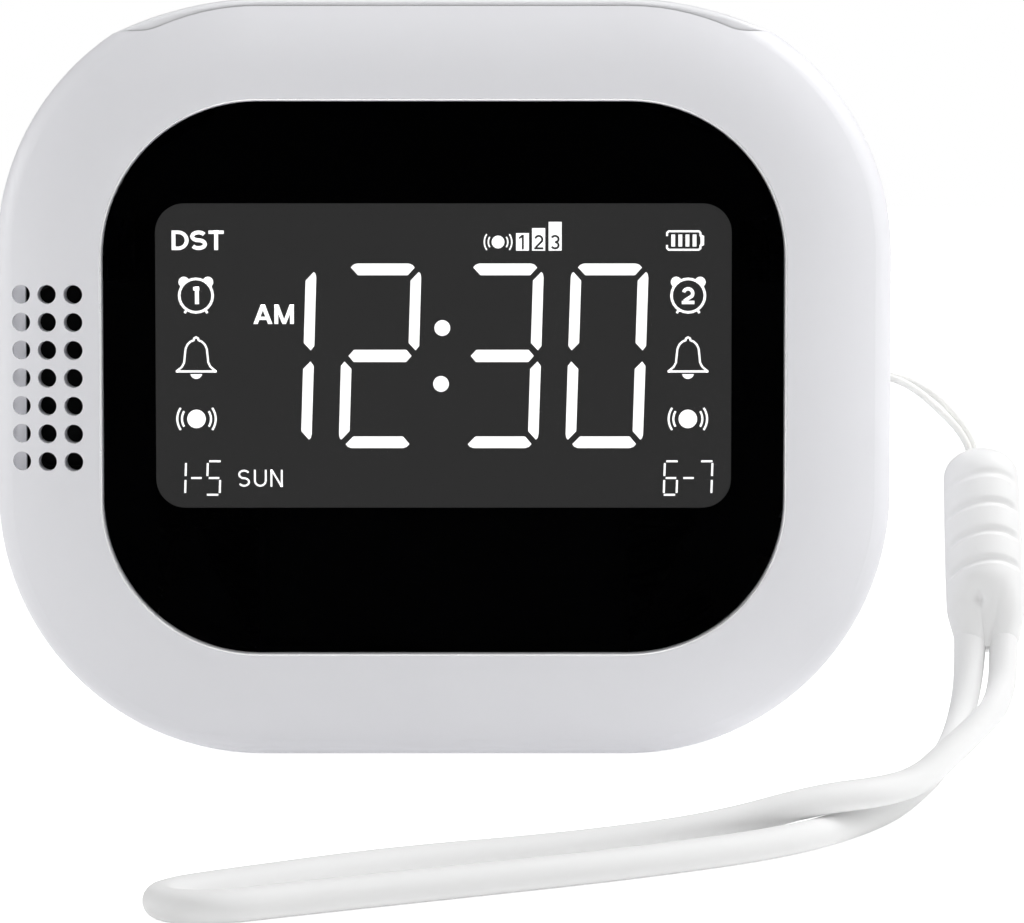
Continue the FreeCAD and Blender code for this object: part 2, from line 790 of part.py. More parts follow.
def bar_blank(lowering):
    """Arched blank of the snooze bar: one cross section, straight in the middle and revolved at the ends."""
    top = bar_top - lowering
    half = bar_depth / 2 + overrun
    flat = bar_cross_flat / 2
    cross = bar_cross_radius - lowering
    edge_drop = cross - math.sqrt(cross ** 2 - (half - flat) ** 2)
    mid_reach = (half - flat) / 2
    mid_drop = cross - math.sqrt(cross ** 2 - mid_reach ** 2)
    low = top - 2 * bar_rim_drop
    x = -bar_flat_half

    def at(y, z):
        return V(x, bar_middle_y + y, z)

    face = Part.Face(Part.Wire([
        Part.Arc(at(-half, top - edge_drop), at(-flat - mid_reach, top - mid_drop), at(-flat, top)).toShape(),
        line(at(-flat, top), at(flat, top)),
        Part.Arc(at(flat, top), at(flat + mid_reach, top - mid_drop), at(half, top - edge_drop)).toShape(),
        line(at(half, top - edge_drop), at(half, low)),
        line(at(half, low), at(-half, low)),
        line(at(-half, low), at(-half, top - edge_drop)),
    ]))
    pivot_z = bar_top - bar_end_radius
    sweep = math.degrees(math.asin((bar_width / 2 - bar_flat_half + overrun) / bar_end_radius))
    sweep += bar_sweep_margin_degrees
    left = face.revolve(V(x, 0, pivot_z), V(0, -1, 0), sweep)
    straight = face.extrude(V(2 * bar_flat_half, 0, 0))
    far = face.copy()
    far.translate(V(2 * bar_flat_half, 0, 0))
    right = far.revolve(V(-x, 0, pivot_z), AWAY, sweep)
    return fuse([straight, left, right])


def snooze_bar():
    outer = bar_blank(0).common(snooze_plan(0, bar_rim_z, top_z))
    crown = [edge for edge in outer.Edges
             if edge.BoundBox.ZMin > bar_rim_z + bar_edge
             and max(abs(edge.CenterOfMass.x) * 2 / bar_width,
                     abs(edge.CenterOfMass.y - bar_middle_y) * 2 / bar_depth) > bar_crown_share
             and (edge.BoundBox.XLength > bar_edge or edge.BoundBox.YLength > bar_edge)]
    outer = outer.makeFillet(bar_edge, crown)
    hollow = bar_blank(bar_skin).common(snooze_plan(-bar_rim, bar_rim_z - overrun, top_z))
    solids = [outer.cut(hollow)]
    for side in (-1, 1):
        post_x_here = side * snooze_switch_x
        post_end = snooze_board_top + snooze_stem_lift + snooze_stem_length
        solids.append(rod(snooze_post_diameter, V(post_x_here, bar_middle_y, post_end),
                          V(post_x_here, bar_middle_y, bar_underside + bar_skin / 2)))
        pin = side * guide_pin_x
        solids.append(rod(guide_pin_diameter, V(pin, bar_middle_y, shelf_bottom - guide_pin_reach),
                          V(pin, bar_middle_y, bar_underside)))
        x = side * hook_x
        y0 = bar_middle_y - hook_thickness / 2
        y1 = bar_middle_y + hook_thickness / 2
        barb_top = shelf_bottom - fit_gap
        foot = barb_top - hook_barb_height
        profile = [V(x, y0, foot), V(x, y1, foot), V(x, y1 + hook_barb, barb_top), V(x, y1, barb_top),
                   V(x, y1, bar_underside), V(x, y0, bar_underside), V(x, y0, foot)]
        hook = Part.Face(Part.makePolygon(profile)).extrude(V(hook_length, 0, 0))
        hook.translate(V(-hook_length / 2, 0, 0))
        solids.append(hook)
    return fuse(solids)


def snooze_stems():
    stems = []
    for side in (-1, 1):
        foot = V(side * snooze_switch_x, bar_middle_y, snooze_board_top + snooze_stem_lift)
        stems.append(rod(snooze_stem_diameter, foot, foot + UP * snooze_stem_length))
    return group(stems)


def snooze_board():
    return flat_slab(snooze_board_length, snooze_board_width, small_board_corner, 0, bar_middle_y,
                     shelf_top, snooze_board_top)


def snooze_switches():
    switches = []
    half = snooze_switch_size / 2
    for side in (-1, 1):
        x = side * snooze_switch_x
        body = box(x - half, x + half, bar_middle_y - half, bar_middle_y + half,
                   snooze_board_top, snooze_board_top + snooze_switch_height)
        axis = V(x, bar_middle_y, snooze_board_top)
        bore = rod(snooze_stem_diameter + 2 * snooze_stem_bore_gap,
                   axis + UP * (snooze_stem_lift - bar_travel) / 2,
                   axis + UP * (snooze_switch_height + overrun))
        switches.append(body.cut(bore))
    return group(switches)


def key(x):
    """Cap that passes the back wall, with an inner flange and a stem that goes into its switch."""
    cap = upright_slab(key_width, key_height, key_corner, x, key_z, key_flange_y, back - key_sunk)
    rim = [edge for edge in cap.Edges if edge.BoundBox.YMin > back - key_sunk - key_sunk / 2]
    cap = cap.makeChamfer(key_gap, rim)
    flange = upright_slab(key_width + 2 * key_flange, key_height + 2 * key_flange, key_corner + key_flange,
                          x, key_z, key_flange_y, key_flange_y + key_flange_thickness)
    stem = rod(key_stem_diameter, V(x, key_flange_y - key_stem_reach, key_z), V(x, key_flange_y, key_z))
    return fuse([cap, flange, stem])


def key_switches():
    switches = []
    half = key_switch_size / 2
    for x in key_places():
        body = box(x - half, x + half, key_board_back_y, key_switch_y, key_z - half, key_z + half)
        floor_y = key_flange_y - key_stem_reach - key_travel - fit_gap
        bore = rod(key_stem_diameter + 2 * key_stem_bore_gap, V(x, floor_y, key_z), V(x, back, key_z))
        switches.append(body.cut(bore))
    return group(switches)


def key_board():
    board = upright_slab(key_board_width, key_board_height, small_board_corner, 0, key_z,
                         key_board_y, key_board_back_y)
    holes = [rod(peg_diameter, V(x, key_board_y - overrun, z), V(x, back, z)) for x, z in peg_places()]
    return board.cut(group(holes))


def battery_pack():
    pack = box(-battery_width / 2, battery_width / 2, battery_back_y - battery_thickness, battery_back_y,
               battery_z - battery_height / 2, battery_z + battery_height / 2)
    long_edges = [edge for edge in pack.Edges if edge.BoundBox.ZLength > battery_height / 2]
    return pack.makeFillet(battery_corner, long_edges)


def battery_pad():
    half_w, half_h = battery_width / 2 - battery_corner, battery_height / 2 - battery_corner
    return box(-half_w, half_w, battery_back_y, rear_inner_y, battery_z - half_h, battery_z + half_h)


def charge_board():
    return box(socket_x - charge_board_width / 2, socket_x + charge_board_width / 2,
               rear_inner_y - charge_board_depth, rear_inner_y, socket_z - charge_board_thickness, socket_z)


def charging_socket():
    """Oval metal shell with its contact tongue, open to the back."""
    mouth = back - socket_sunk
    centre = socket_z + socket_height / 2
    shell = upright_slab(socket_width, socket_height, socket_corner, socket_x, centre,
                         mouth - socket_depth, mouth)
    hollow = upright_slab(socket_width - 2 * socket_wall, socket_height - 2 * socket_wall,
                          socket_corner - socket_wall, socket_x, centre,
                          mouth - socket_depth + socket_wall, mouth + overrun)
    start = mouth - socket_depth + socket_wall / 2
    tongue = box(socket_x - tongue_width / 2, socket_x + tongue_width / 2, start, start + tongue_length,
                 centre - tongue_thickness / 2, centre + tongue_thickness / 2)
    return shell.cut(hollow).fuse(tongue).removeSplitter()


def motor_can():
    axis = V(motor_x, 0, motor_z)
    can = rod(motor_diameter, axis + AWAY * motor_front_y, axis + AWAY * motor_back_y)
    rims = [edge for edge in can.Edges if edge.Curve.TypeId == "Part::GeomCircle"]
    can = can.makeChamfer(motor_edge, rims)
    neck = rod(motor_neck_diameter, axis + AWAY * (motor_front_y - motor_neck_length),
               axis + AWAY * motor_front_y)
    bore = rod(shaft_diameter + 2 * shaft_bore_gap, axis + AWAY * weight_back_y,
               axis + AWAY * (shaft_end_y + fit_gap))
    return can.fuse(neck).removeSplitter().cut(bore)


def motor_clamp():
    """Flat bar across the can's front, round in the middle, on two posts."""
    axis = V(motor_x, 0, motor_z)
    y0, y1 = motor_front_y - clamp_thickness, motor_front_y
    bar = upright_slab(2 * clamp_arm + clamp_width, clamp_width, clamp_width / 2, motor_x, motor_z, y0, y1)
    disc = rod(clamp_ring_diameter, axis + AWAY * y0, axis + AWAY * y1)
    holes = [rod(clamp_hole_diameter, axis + AWAY * (y0 - overrun), axis + AWAY * (y1 + overrun))]
    for side in (-1, 1):
        x = motor_x + side * clamp_arm
        holes.append(rod(screw_diameter + 2 * fit_gap, V(x, y0 - overrun, motor_z),
                         V(x, y1 + overrun, motor_z)))
    return bar.fuse(disc).removeSplitter().cut(group(holes))


def clamp_screws():
    y = motor_front_y - clamp_thickness
    shank = clamp_thickness + clamp_screw_length - screw_end_gap
    return group([plain_screw(screw_head_diameter, screw_head_height, pilot_diameter, shank,
                              V(motor_x + side * clamp_arm, y, motor_z), AWAY) for side in (-1, 1)])


def motor_shaft():
    axis = V(motor_x, 0, motor_z)
    return rod(shaft_diameter, axis + AWAY * (weight_back_y - weight_thickness), axis + AWAY * shaft_end_y)


def motor_weight():
    """Half disc on a hub, so that its middle of mass is off the shaft."""
    y0, y1 = weight_back_y - weight_thickness, weight_back_y
    axis = V(motor_x, 0, motor_z)
    disc = rod(2 * weight_radius, axis + AWAY * y0, axis + AWAY * y1)
    upper = box(motor_x - weight_radius - overrun, motor_x + weight_radius + overrun,
                y0 - overrun, y1 + overrun, motor_z + weight_hub_diameter / 4,
                motor_z + weight_radius + overrun)
    hub = rod(weight_hub_diameter, axis + AWAY * y0, axis + AWAY * y1)
    bore = rod(shaft_diameter, axis + AWAY * (y0 - overrun), axis + AWAY * (y1 + overrun))
    return disc.cut(upper).fuse(hub).removeSplitter().cut(bore)


def speaker_frame():
    body = box(speaker_x - speaker_width / 2, speaker_x + speaker_width / 2,
               speaker_front, speaker_front + speaker_depth,
               speaker_z - speaker_height / 2, speaker_z + speaker_height / 2)
    well = upright_slab(speaker_width - 2 * speaker_rim, speaker_height - 2 * speaker_rim,
                        speaker_corner, speaker_x, speaker_z,
                        speaker_front - overrun, speaker_front + speaker_depth - speaker_rim)
    return body.cut(well)


def speaker_cone():
    """Shallow racetrack cone with a raised dust cap."""
    width = speaker_width - 2 * speaker_rim
    height = speaker_height - 2 * speaker_rim
    radius = speaker_corner
    y0 = speaker_front + cone_dish
    plate = upright_slab(width, height, radius, speaker_x, speaker_z, y0, y0 + cone_thickness)
    cap = upright_slab(width / 2, height / 2, radius / 2, speaker_x, speaker_z, y0 - cone_dish / 2, y0)
    return plate.fuse(cap).removeSplitter()


def speaker_magnet():
    y1 = speaker_front + speaker_depth - speaker_rim
    return box(speaker_x - magnet_width / 2, speaker_x + magnet_width / 2, y1 - magnet_thickness, y1,
               speaker_z - magnet_height / 2, speaker_z + magnet_height / 2)


def speaker_gasket():
    """Foam ring on the speaker's front rim."""
    y0 = speaker_front - gasket_thickness
    ring = box(speaker_x - speaker_width / 2, speaker_x + speaker_width / 2, y0, speaker_front,
               speaker_z - speaker_height / 2, speaker_z + speaker_height / 2)
    hole = box(speaker_x - speaker_width / 2 + gasket_band, speaker_x + speaker_width / 2 - gasket_band,
               y0 - overrun, speaker_front + overrun,
               speaker_z - speaker_height / 2 + gasket_band, speaker_z + speaker_height / 2 - gasket_band)
    return ring.cut(hole).cut(around_body(front_section()))


def case_screws():
    screws = []
    for x, z in post_places():
        seat = V(x, back - case_screw_sink, z)
        screws.append(plain_screw(case_screw_head, case_screw_head_height, pilot_diameter,
                                  case_screw_length, seat, V(0, -1, 0)))
    return group(screws)


def foot_pads():
    return group([foot_slab(0, foot_thickness, side) for side in (-1, 1)])


def cord_tube(name, points, diameter):
    """Straight runs joined by tangent arcs, as large as their two runs allow, swept with a circle."""
    corners = [V(*point) for point in points]
    edges = []
    last = corners[0]
    radii = []
    length = 0.0
    for before, corner, after in zip(corners, corners[1:], corners[2:]):
        back_way = (before - corner).normalize()
        on_way = (after - corner).normalize()
        turn = math.pi - back_way.getAngle(on_way)
        reach = arc_share * min((before - corner).Length, (after - corner).Length)
        radius = reach / math.tan(turn / 2)
        start = corner + back_way * reach
        end = corner + on_way * reach
        inward = (back_way + on_way).normalize()
        middle = corner + inward * (radius / math.cos(turn / 2) - radius)
        edges.append(line(last, start))
        edges.append(Part.Arc(start, middle, end).toShape())
        length += (start - last).Length + radius * turn
        radii.append(radius)
        last = end
    edges.append(line(last, corners[-1]))
    length += (corners[-1] - last).Length
    path = Part.Wire(edges)
    ring = Part.Wire(Part.makeCircle(diameter / 2, corners[0], corners[1] - corners[0]))
    tube = path.makePipe(Part.Face(ring))
    ideal = math.pi * diameter ** 2 / 4 * length
    print(name, "length", round(length, 1), "least radius", round(min(radii), 2),
          "volume against section times length", round(tube.Volume / ideal, 4))
    print("  radii", [round(radius, 1) for radius in radii])
    return tube


# The strap's route: out of the grip, along the surface to the tight fold and back, over itself once.
strap_route = [
    (53.9, -5.2, 15.8), (53.8, -7.7, 10.8), (53.1, -11.8, 5.7), (50.9, -18.5, 1.95), (48.2, -29.0, 1.4),
    (44.6, -44.5, 1.35), (40.2, -60.0, 1.35), (31.6, -76.2, 1.35), (17.5, -88.3, 1.35), (1.5, -98.7, 1.35),
    (-9.6, -105.8, 1.35), (-16.9, -110.9, 1.35), (-20.9, -108.8, 1.35), (-20.8, -104.2, 1.35),
    (-14.4, -98.2, 1.35), (-3.0, -88.3, 1.35), (12.0, -80.2, 1.35), (24.2, -75.0, 2.2), (33.2, -72.0, 4.25),
    (39.6, -67.4, 4.3), (43.7, -58.6, 4.15), (47.6, -44.0, 4.45), (52.5, -25.0, 4.6), (56.0, -13.4, 5.5),
    (57.2, -8.6, 9.6), (57.15, -5.4, 15.8),
]

# The string's route: out of the grip, round the pin in the clock's side and back.
pin_reach = (pin_diameter + string_diameter) / 2 + shaft_bore_gap
pin_corner = pin_reach / math.cos(math.radians(30))
string_route = [
    (54.9, 1.75, 29.4), (54.2, 1.3, 31.9), (51.4, 0.1, 35.2), (47.6, -0.85, 37.4), (44.9, -pin_reach, 38.2),
    (pin_x - pin_corner / 2, -pin_reach, 38.25), (pin_x - pin_corner, 0.0, 38.25),
    (pin_x - pin_corner / 2, pin_reach, 38.25), (44.9, pin_reach, 38.2), (48.1, 0.9, 37.7), (52.1, 0.8, 35.7),
    (55.1, 1.3, 32.3), (55.75, 1.85, 29.6),
]


def lanyard_strap():
    return cord_tube("lanyard_strap", strap_route, strap_diameter)


def lanyard_string():
    return cord_tube("lanyard_string", string_route, string_diameter)


def lanyard_sleeve():
    """Moulded grip with a round head, four stepped grooves and a tapered end, about its slanted axis."""
    axis = sleeve_bottom - sleeve_top
    length = axis.Length
    axis.normalize()
    side = axis.cross(V(1, 0, 0)).normalize()

    def at(along, radius):
        return sleeve_top + axis * along + side * radius

    neck = sleeve_neck_diameter / 2
    head = sleeve_top_diameter / 2
    low = sleeve_low_diameter / 2
    tail = sleeve_end_diameter / 2
    head_middle = at(sleeve_dome * (1 - math.cos(math.radians(45))),
                     neck + (head - neck) * math.sin(math.radians(45)))
    edges = [
        line(at(0, 0), at(0, neck)),
        Part.Arc(at(0, neck), head_middle, at(sleeve_dome, head)).toShape(),
    ]
    here = sleeve_dome
    width = head
    for index in range(sleeve_grooves):
        groove = sleeve_first_groove + index * sleeve_groove_pitch
        grown = head + (low - head) * (index + 1) / sleeve_grooves
        edges.append(line(at(here, width), at(groove, width - sleeve_groove_depth)))
        edges.append(line(at(groove, width - sleeve_groove_depth), at(groove + sleeve_groove_step, grown)))
        here = groove + sleeve_groove_step
        width = grown
    shoulder = length - sleeve_taper
    edges.append(line(at(here, width), at(shoulder, low)))
    slope = (low - tail) / sleeve_taper
    round_start = length - sleeve_end_round
    edges.append(line(at(shoulder, low), at(round_start, tail + slope * sleeve_end_round)))
    rim = tail + slope * sleeve_end_round
    slant = sleeve_end_round * (1 - math.sqrt(0.5))
    edges.append(Part.Arc(at(round_start, rim), at(length - slant, rim - slant),
                          at(length, rim - sleeve_end_round)).toShape())
    edges.append(line(at(length, rim - sleeve_end_round), at(length, 0)))
    edges.append(line(at(length, 0), at(0, 0)))
    return Part.Face(Part.Wire(edges)).revolve(sleeve_top, axis, 360)


def build():
    nodes = {
        "front_housing": front_housing(),
        "rear_housing": rear_housing(),
        "display_lens": display_lens(),
        "window_mask": window_mask(),
        "display_panel": display_panel(),
        "light_guide": light_guide(),
        "display_frame": display_frame(),
        "main_board": main_board(),
        "board_screws": board_screws(),
        "board_chips": board_chips(),
        "snooze_bar": snooze_bar(),
        "snooze_stems": snooze_stems(),
        "snooze_board": snooze_board(),
        "snooze_switches": snooze_switches(),
        "key_switches": key_switches(),
        "key_board": key_board(),
        "battery_pack": battery_pack(),
        "battery_pad": battery_pad(),
        "charge_board": charge_board(),
        "charging_socket": charging_socket(),
        "motor_can": motor_can(),
        "motor_clamp": motor_clamp(),
        "clamp_screws": clamp_screws(),
        "motor_shaft": motor_shaft(),
        "motor_weight": motor_weight(),
        "speaker_frame": speaker_frame(),
        "speaker_cone": speaker_cone(),
        "speaker_magnet": speaker_magnet(),
        "speaker_gasket": speaker_gasket(),
        "case_screws": case_screws(),
        "foot_pads": foot_pads(),
        "lanyard_pin": lanyard_pin(),
    }
    for name, x in zip(key_names, key_places()):
        nodes[name] = key(x)
    strap = lanyard_strap()
    string = lanyard_string()
    nodes["lanyard_strap"] = strap
    nodes["lanyard_string"] = string
    nodes["lanyard_sleeve"] = lanyard_sleeve().cut(strap).cut(string)
    return nodes


os.makedirs("parts", exist_ok=True)
for node, shape in build().items():
    shape.exportStep("parts/" + node + ".step")
    print(node, "solids", len(shape.Solids), "valid", shape.isValid(), "volume", round(shape.Volume, 2))
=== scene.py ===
# %% [markdown]
# # A vibrating travel alarm clock with a wrist lanyard
# The clock's moulded case, window, snooze bar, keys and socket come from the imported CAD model. This lesson
# adds what CAD leaves out: the finish of each material, the lit display, the printed signs on the keys, and
# the soft lanyard that lies in front of the clock. Shapes are written in millimetres and turned to metres by
# one factor. The cords' lengths, the table and the lamps are written in metres.

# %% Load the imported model
import bpy
import bmesh
import math
from mathutils import Vector, Matrix


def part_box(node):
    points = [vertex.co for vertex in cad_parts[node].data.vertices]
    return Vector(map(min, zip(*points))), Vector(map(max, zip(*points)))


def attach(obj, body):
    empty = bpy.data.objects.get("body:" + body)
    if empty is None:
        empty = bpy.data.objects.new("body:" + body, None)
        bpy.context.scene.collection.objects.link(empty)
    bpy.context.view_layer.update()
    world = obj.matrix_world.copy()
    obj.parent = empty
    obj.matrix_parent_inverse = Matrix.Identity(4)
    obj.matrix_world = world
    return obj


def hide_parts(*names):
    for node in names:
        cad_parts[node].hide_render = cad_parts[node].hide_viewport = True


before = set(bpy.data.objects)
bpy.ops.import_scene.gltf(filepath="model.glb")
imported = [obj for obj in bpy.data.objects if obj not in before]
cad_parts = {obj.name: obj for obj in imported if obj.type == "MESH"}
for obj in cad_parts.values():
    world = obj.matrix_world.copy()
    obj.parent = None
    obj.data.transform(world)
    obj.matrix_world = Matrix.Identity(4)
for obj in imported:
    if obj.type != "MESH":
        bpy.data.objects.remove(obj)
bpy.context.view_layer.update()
mm = 0.001
print("CAD nodes:", len(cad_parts))


def leave_all_unselected():
    bpy.ops.object.select_all(action="DESELECT")


leave_all_unselected()

# %% [markdown]
# ## The camera
# The photograph was taken with a long lens from a little above the table, so parallel edges stay nearly
# parallel. A 146 mm lens on a 36 mm wide sensor at 43 cm gives the same picture.

# %% Camera
camera_place = Vector((6.84, -430.0, 56.2)) * mm
camera_target = Vector((6.84, -10.0, 29.74)) * mm
camera_data = bpy.data.cameras.new("picture_camera")
camera_data.lens = 146.03
camera_data.sensor_width = 36.0
camera_data.sensor_fit = "HORIZONTAL"
camera_data.clip_start = 0.01
camera_data.clip_end = 100.0
camera = bpy.data.objects.new("picture_camera", camera_data)
bpy.context.scene.collection.objects.link(camera)
camera.location = camera_place
camera.rotation_euler = (camera_target - camera_place).to_track_quat("-Z", "Y").to_euler()
bpy.context.scene.camera = camera
print("camera looks down by", round(90 - math.degrees(camera.rotation_euler.x), 2), "degrees")

# %% [markdown]
# ## One way to write colours and nodes
# Colours are read off as sRGB hex values, and shaders want linear light, so one function turns them. Another
# adds a node with its settings and links, and two more blend colours and spread a pattern over a range. They
# keep each material below to a few lines.


# %% Colour and node helpers
def colour(code):
    """Linear RGBA from an sRGB hex code."""
    parts = [int(code[i:i + 2], 16) / 255 for i in (1, 3, 5)]
    linear = [p / 12.92 if p <= 0.04045 else ((p + 0.055) / 1.055) ** 2.4 for p in parts]
    return (*linear, 1.0)


def scaled(shade, factor):
    """The colour made lighter or darker by a factor."""
    return (*(min(part * factor, 1.0) for part in shade[:3]), 1.0)


def add(tree, kind, settings=None, links=None):
    """Add a node. Settings are its properties, or its inputs by name or number; links feed its inputs."""
    node = tree.nodes.new("ShaderNode" + kind)
    for key, value in (settings or {}).items():
        if isinstance(key, int) or key in node.inputs:
            node.inputs[key].default_value = value
        else:
            setattr(node, key, value)
    for key, source in (links or {}).items():
        tree.links.new(source, node.inputs[key])
    return node


mix_share, mix_first, mix_second, mix_result = 0, 6, 7, 2


def blend(tree, share, first, second):
    """Colour that runs from the first to the second as the share goes from 0 to 1."""
    settings = {"data_type": "RGBA", mix_first: first, mix_second: second}
    return add(tree, "Mix", settings, {"Factor": share}).outputs[mix_result]


def between(tree, low, high, value):
    """Number that runs from low to high as the value goes from 0 to 1."""
    return add(tree, "MapRange", {"To Min": low, "To Max": high}, {"Value": value}).outputs["Result"]


def blank_material(name):
    """New material with an empty node tree."""
    material = bpy.data.materials.new(name)
    material.use_nodes = True
    material.node_tree.nodes.clear()
    return material, material.node_tree


def finish_material(tree, shader):
    add(tree, "OutputMaterial", links={"Surface": shader})


def dress(material, *nodes):
    """Give the material to CAD nodes or new pieces."""
    for node in nodes:
        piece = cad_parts[node] if isinstance(node, str) else node
        piece.data.materials.clear()
        piece.data.materials.append(material)


# %% [markdown]
# ## The lanyard's cords
# The strap is a soft cord, folded double: both legs leave the grip, lie on the table and meet in a tight
# fold at the far left. A NURBS curve that follows the CAD route gives one smooth line, and its bevel gives
# the round cord, a little thicker where it leaves the grip. The thin string goes from the grip round a bar in
# the clock's side.

# %% Strap and string
strap_width = 2.7
strap_route = [
    (53.9, -5.2, 15.8), (53.7, -7.7, 10.8), (52.82, -11.8, 5.7), (50.75, -18.5, 1.85), (48.2, -29.0, 1.4),
    (44.6, -44.5, 1.35), (40.2, -60.0, 1.35), (31.6, -76.2, 1.35), (17.5, -88.3, 1.35), (1.5, -98.7, 1.35),
    (-9.6, -105.8, 1.35), (-16.9, -110.9, 1.35), (-20.9, -108.8, 1.35), (-20.8, -104.2, 1.35),
    (-14.4, -98.2, 1.35), (-3.0, -88.3, 1.35), (12.0, -80.2, 1.35), (24.2, -75.0, 2.2), (33.2, -72.0, 4.25),
    (39.6, -67.4, 4.3), (43.7, -58.6, 4.15), (47.6, -44.0, 4.45), (52.5, -25.0, 4.6), (55.95, -13.4, 5.5),
    (57.1, -8.6, 9.6), (57.05, -5.4, 15.8),
]
string_width = 0.78
string_route = [
    (54.76, 1.9, 29.36), (54.32, 1.7, 30.69), (53.27, 1.1, 32.34), (52.03, 0.5, 33.65),
    (50.38, -0.2, 35.15), (49.26, -0.6, 36.13), (47.49, -1.0, 37.33), (44.9, -1.1, 38.2),
    (42.965, -1.1, 38.25), (42.33, 0.0, 38.25), (42.965, 1.1, 38.25), (44.9, 1.1, 38.25),
    (47.57, 1.1, 37.6), (49.07, 1.05, 37.05), (50.26, 1.0, 36.35), (51.48, 1.0, 35.35),
    (52.93, 1.2, 33.86), (54.0, 1.6, 32.41), (54.88, 2.1, 30.85), (55.28, 2.3, 29.33),
]


def round_cord(name, route, width, roundness, flare=(), end_flare=()):
    """Cord along a NURBS curve. The flares widen its first and last points by the given factors.

    The bevel is one metre and each point's radius is the cord's own, because the curve's box grows by the
    radii of its points."""
    curve = bpy.data.curves.new(name, "CURVE")
    curve.dimensions = "3D"
    spline = curve.splines.new("NURBS")
    spline.points.add(len(route) - 1)
    for point, place in zip(spline.points, route):
        point.co = (*(Vector(place) * mm), 1.0)
        point.radius = width * mm / 2
    points = list(spline.points)
    for point, factor in [*zip(points, flare), *zip(points[::-1], end_flare)]:
        point.radius *= factor
    spline.order_u = 3
    spline.use_endpoint_u = True
    spline.resolution_u = 12
    curve.bevel_depth = 1.0
    curve.bevel_resolution = roundness
    curve.use_fill_caps = True
    cord = bpy.data.objects.new(name, curve)
    bpy.context.scene.collection.objects.link(cord)
    return cord


strap = round_cord("strap", strap_route, strap_width, 8, (1.38, 1.22, 1.02), (1.08, 1.08, 1.04))
string = round_cord("string", string_route, string_width, 3)
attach(strap, "clock")
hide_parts("lanyard_strap")
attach(string, "clock")
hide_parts("lanyard_string")

# %% [markdown]
# ## The grip
# The grip is one soft moulding: a round head, four finger grooves in front and behind that fade towards the
# sides, and a lower end that parts into two lobes round the strap's legs. A small dent lies under the last
# groove. The grip is built from rings of points along its axis. Each ring's radius depends on the direction,
# so the same rings give the head, the body and the lobes.

# %% Grip
grip_top = Vector((55.58, 1.92, 30.03))
grip_axis = Vector((-0.01, -0.4513, -0.8923)).normalized()
grip_side = Vector((1, 0, 0))
grip_front = grip_axis.cross(grip_side).normalized()
grip_length = 22.0
head_rise, head_roundness = 3.2, 2.2
head_radius, full_radius, full_radius_at = 3.86, 4.02, 13.0
groove_count, first_groove, groove_pitch = 4, 4.15, 3.2
full_groove, first_groove_share = 0.36, 0.5
groove_fall, groove_step = (-0.85, -0.15), (-0.16, 0.4)
groove_fade, groove_skew = (0.36, 0.62), 0.12
groove_bow, groove_slant = 1.15, 0.25
front_parting, side_parting = (14.7, 22.9), (17.1, 22.0)
front_fade = (0.25, 0.85)
end_taper, taper_length = 0.1, 1.2
lobe_centre, lobe_radius, web = 1.66, 1.6, 0.85
dent_turn, dent_along = -0.36, 17.4
dents = ((0.65, 0.12, 0.5), (0.45, 0.5, 1.2))


def smooth(low, high, value):
    """Share from 0 to 1 that the value has gone from low to high, eased at both ends."""
    share = min(max((value - low) / (high - low), 0), 1)
    return share * share * (3 - 2 * share)


def groove_depth(along, turn):
    """How far the surface lies under the full one: each groove falls slowly and steps out sharply."""
    facing, sideways = abs(math.cos(turn)), math.sin(turn)
    strength = smooth(*(limit + groove_skew * sideways for limit in groove_fade), facing)
    along -= groove_bow * (1 - facing) - groove_slant * sideways
    depth = 0
    for number in range(groove_count):
        past_foot = along - first_groove - number * groove_pitch
        share = first_groove_share if number == 0 else 1
        depth += share * smooth(*groove_fall, past_foot) * (1 - smooth(*groove_step, past_foot))
    return full_groove * strength * depth


def lobe_reach(turn):
    """Distance from the axis to the outline of two round lobes joined by a thin web."""
    across, ahead = abs(math.sin(turn)), abs(math.cos(turn))
    if lobe_centre * ahead >= lobe_radius:
        return web
    return max(web, lobe_centre * across + math.sqrt(lobe_radius ** 2 - (lobe_centre * ahead) ** 2))


def grip_reach(along, turn):
    """Distance from the axis to the surface: the body, parted into lobes, less the grooves and the dent."""
    body = head_radius + (full_radius - head_radius) * smooth(0, full_radius_at, along)
    if along < head_rise:
        body *= math.sqrt(1 - (1 - along / head_rise) ** head_roundness)
    ahead = smooth(*front_fade, abs(math.cos(turn)))
    parting = smooth(*front_parting, along) * ahead + smooth(*side_parting, along) * (1 - ahead)
    reach = body * (1 - parting) + lobe_reach(turn) * parting
    reach *= 1 - end_taper * smooth(grip_length - taper_length, grip_length, along)
    aside, below = math.remainder(turn - dent_turn, 2 * math.pi), along - dent_along
    dent = sum(deep * math.exp(-(aside / wide) ** 2 - (below / long) ** 2) for deep, wide, long in dents)
    return reach - groove_depth(along, turn) - dent


ring_steps, ring_gap = 128, 0.1
ring_places = [head_rise * (1 - math.cos(math.radians(a))) for a in range(3, 90, 6)]
ring_places += [head_rise + ring_gap * i for i in range(1, int((grip_length - head_rise) / ring_gap) + 1)]
mesh = bmesh.new()
rings = []
for along in ring_places:
    centre = grip_top + grip_axis * along
    ring = []
    for i in range(ring_steps):
        turn = 2 * math.pi * i / ring_steps
        out = grip_front * math.cos(turn) + grip_side * math.sin(turn)
        ring.append(mesh.verts.new((centre + out * grip_reach(along, turn)) * mm))
    rings.append(ring)
for upper, lower in zip(rings, rings[1:]):
    for i in range(ring_steps):
        j = (i + 1) % ring_steps
        mesh.faces.new((upper[i], upper[j], lower[j], lower[i]))
for ring in (rings[0], rings[-1]):
    mesh.faces.new(ring)
bmesh.ops.recalc_face_normals(mesh, faces=mesh.faces)
for face in mesh.faces:
    face.smooth = True
grip_mesh = bpy.data.meshes.new("grip")
mesh.to_mesh(grip_mesh)
mesh.free()
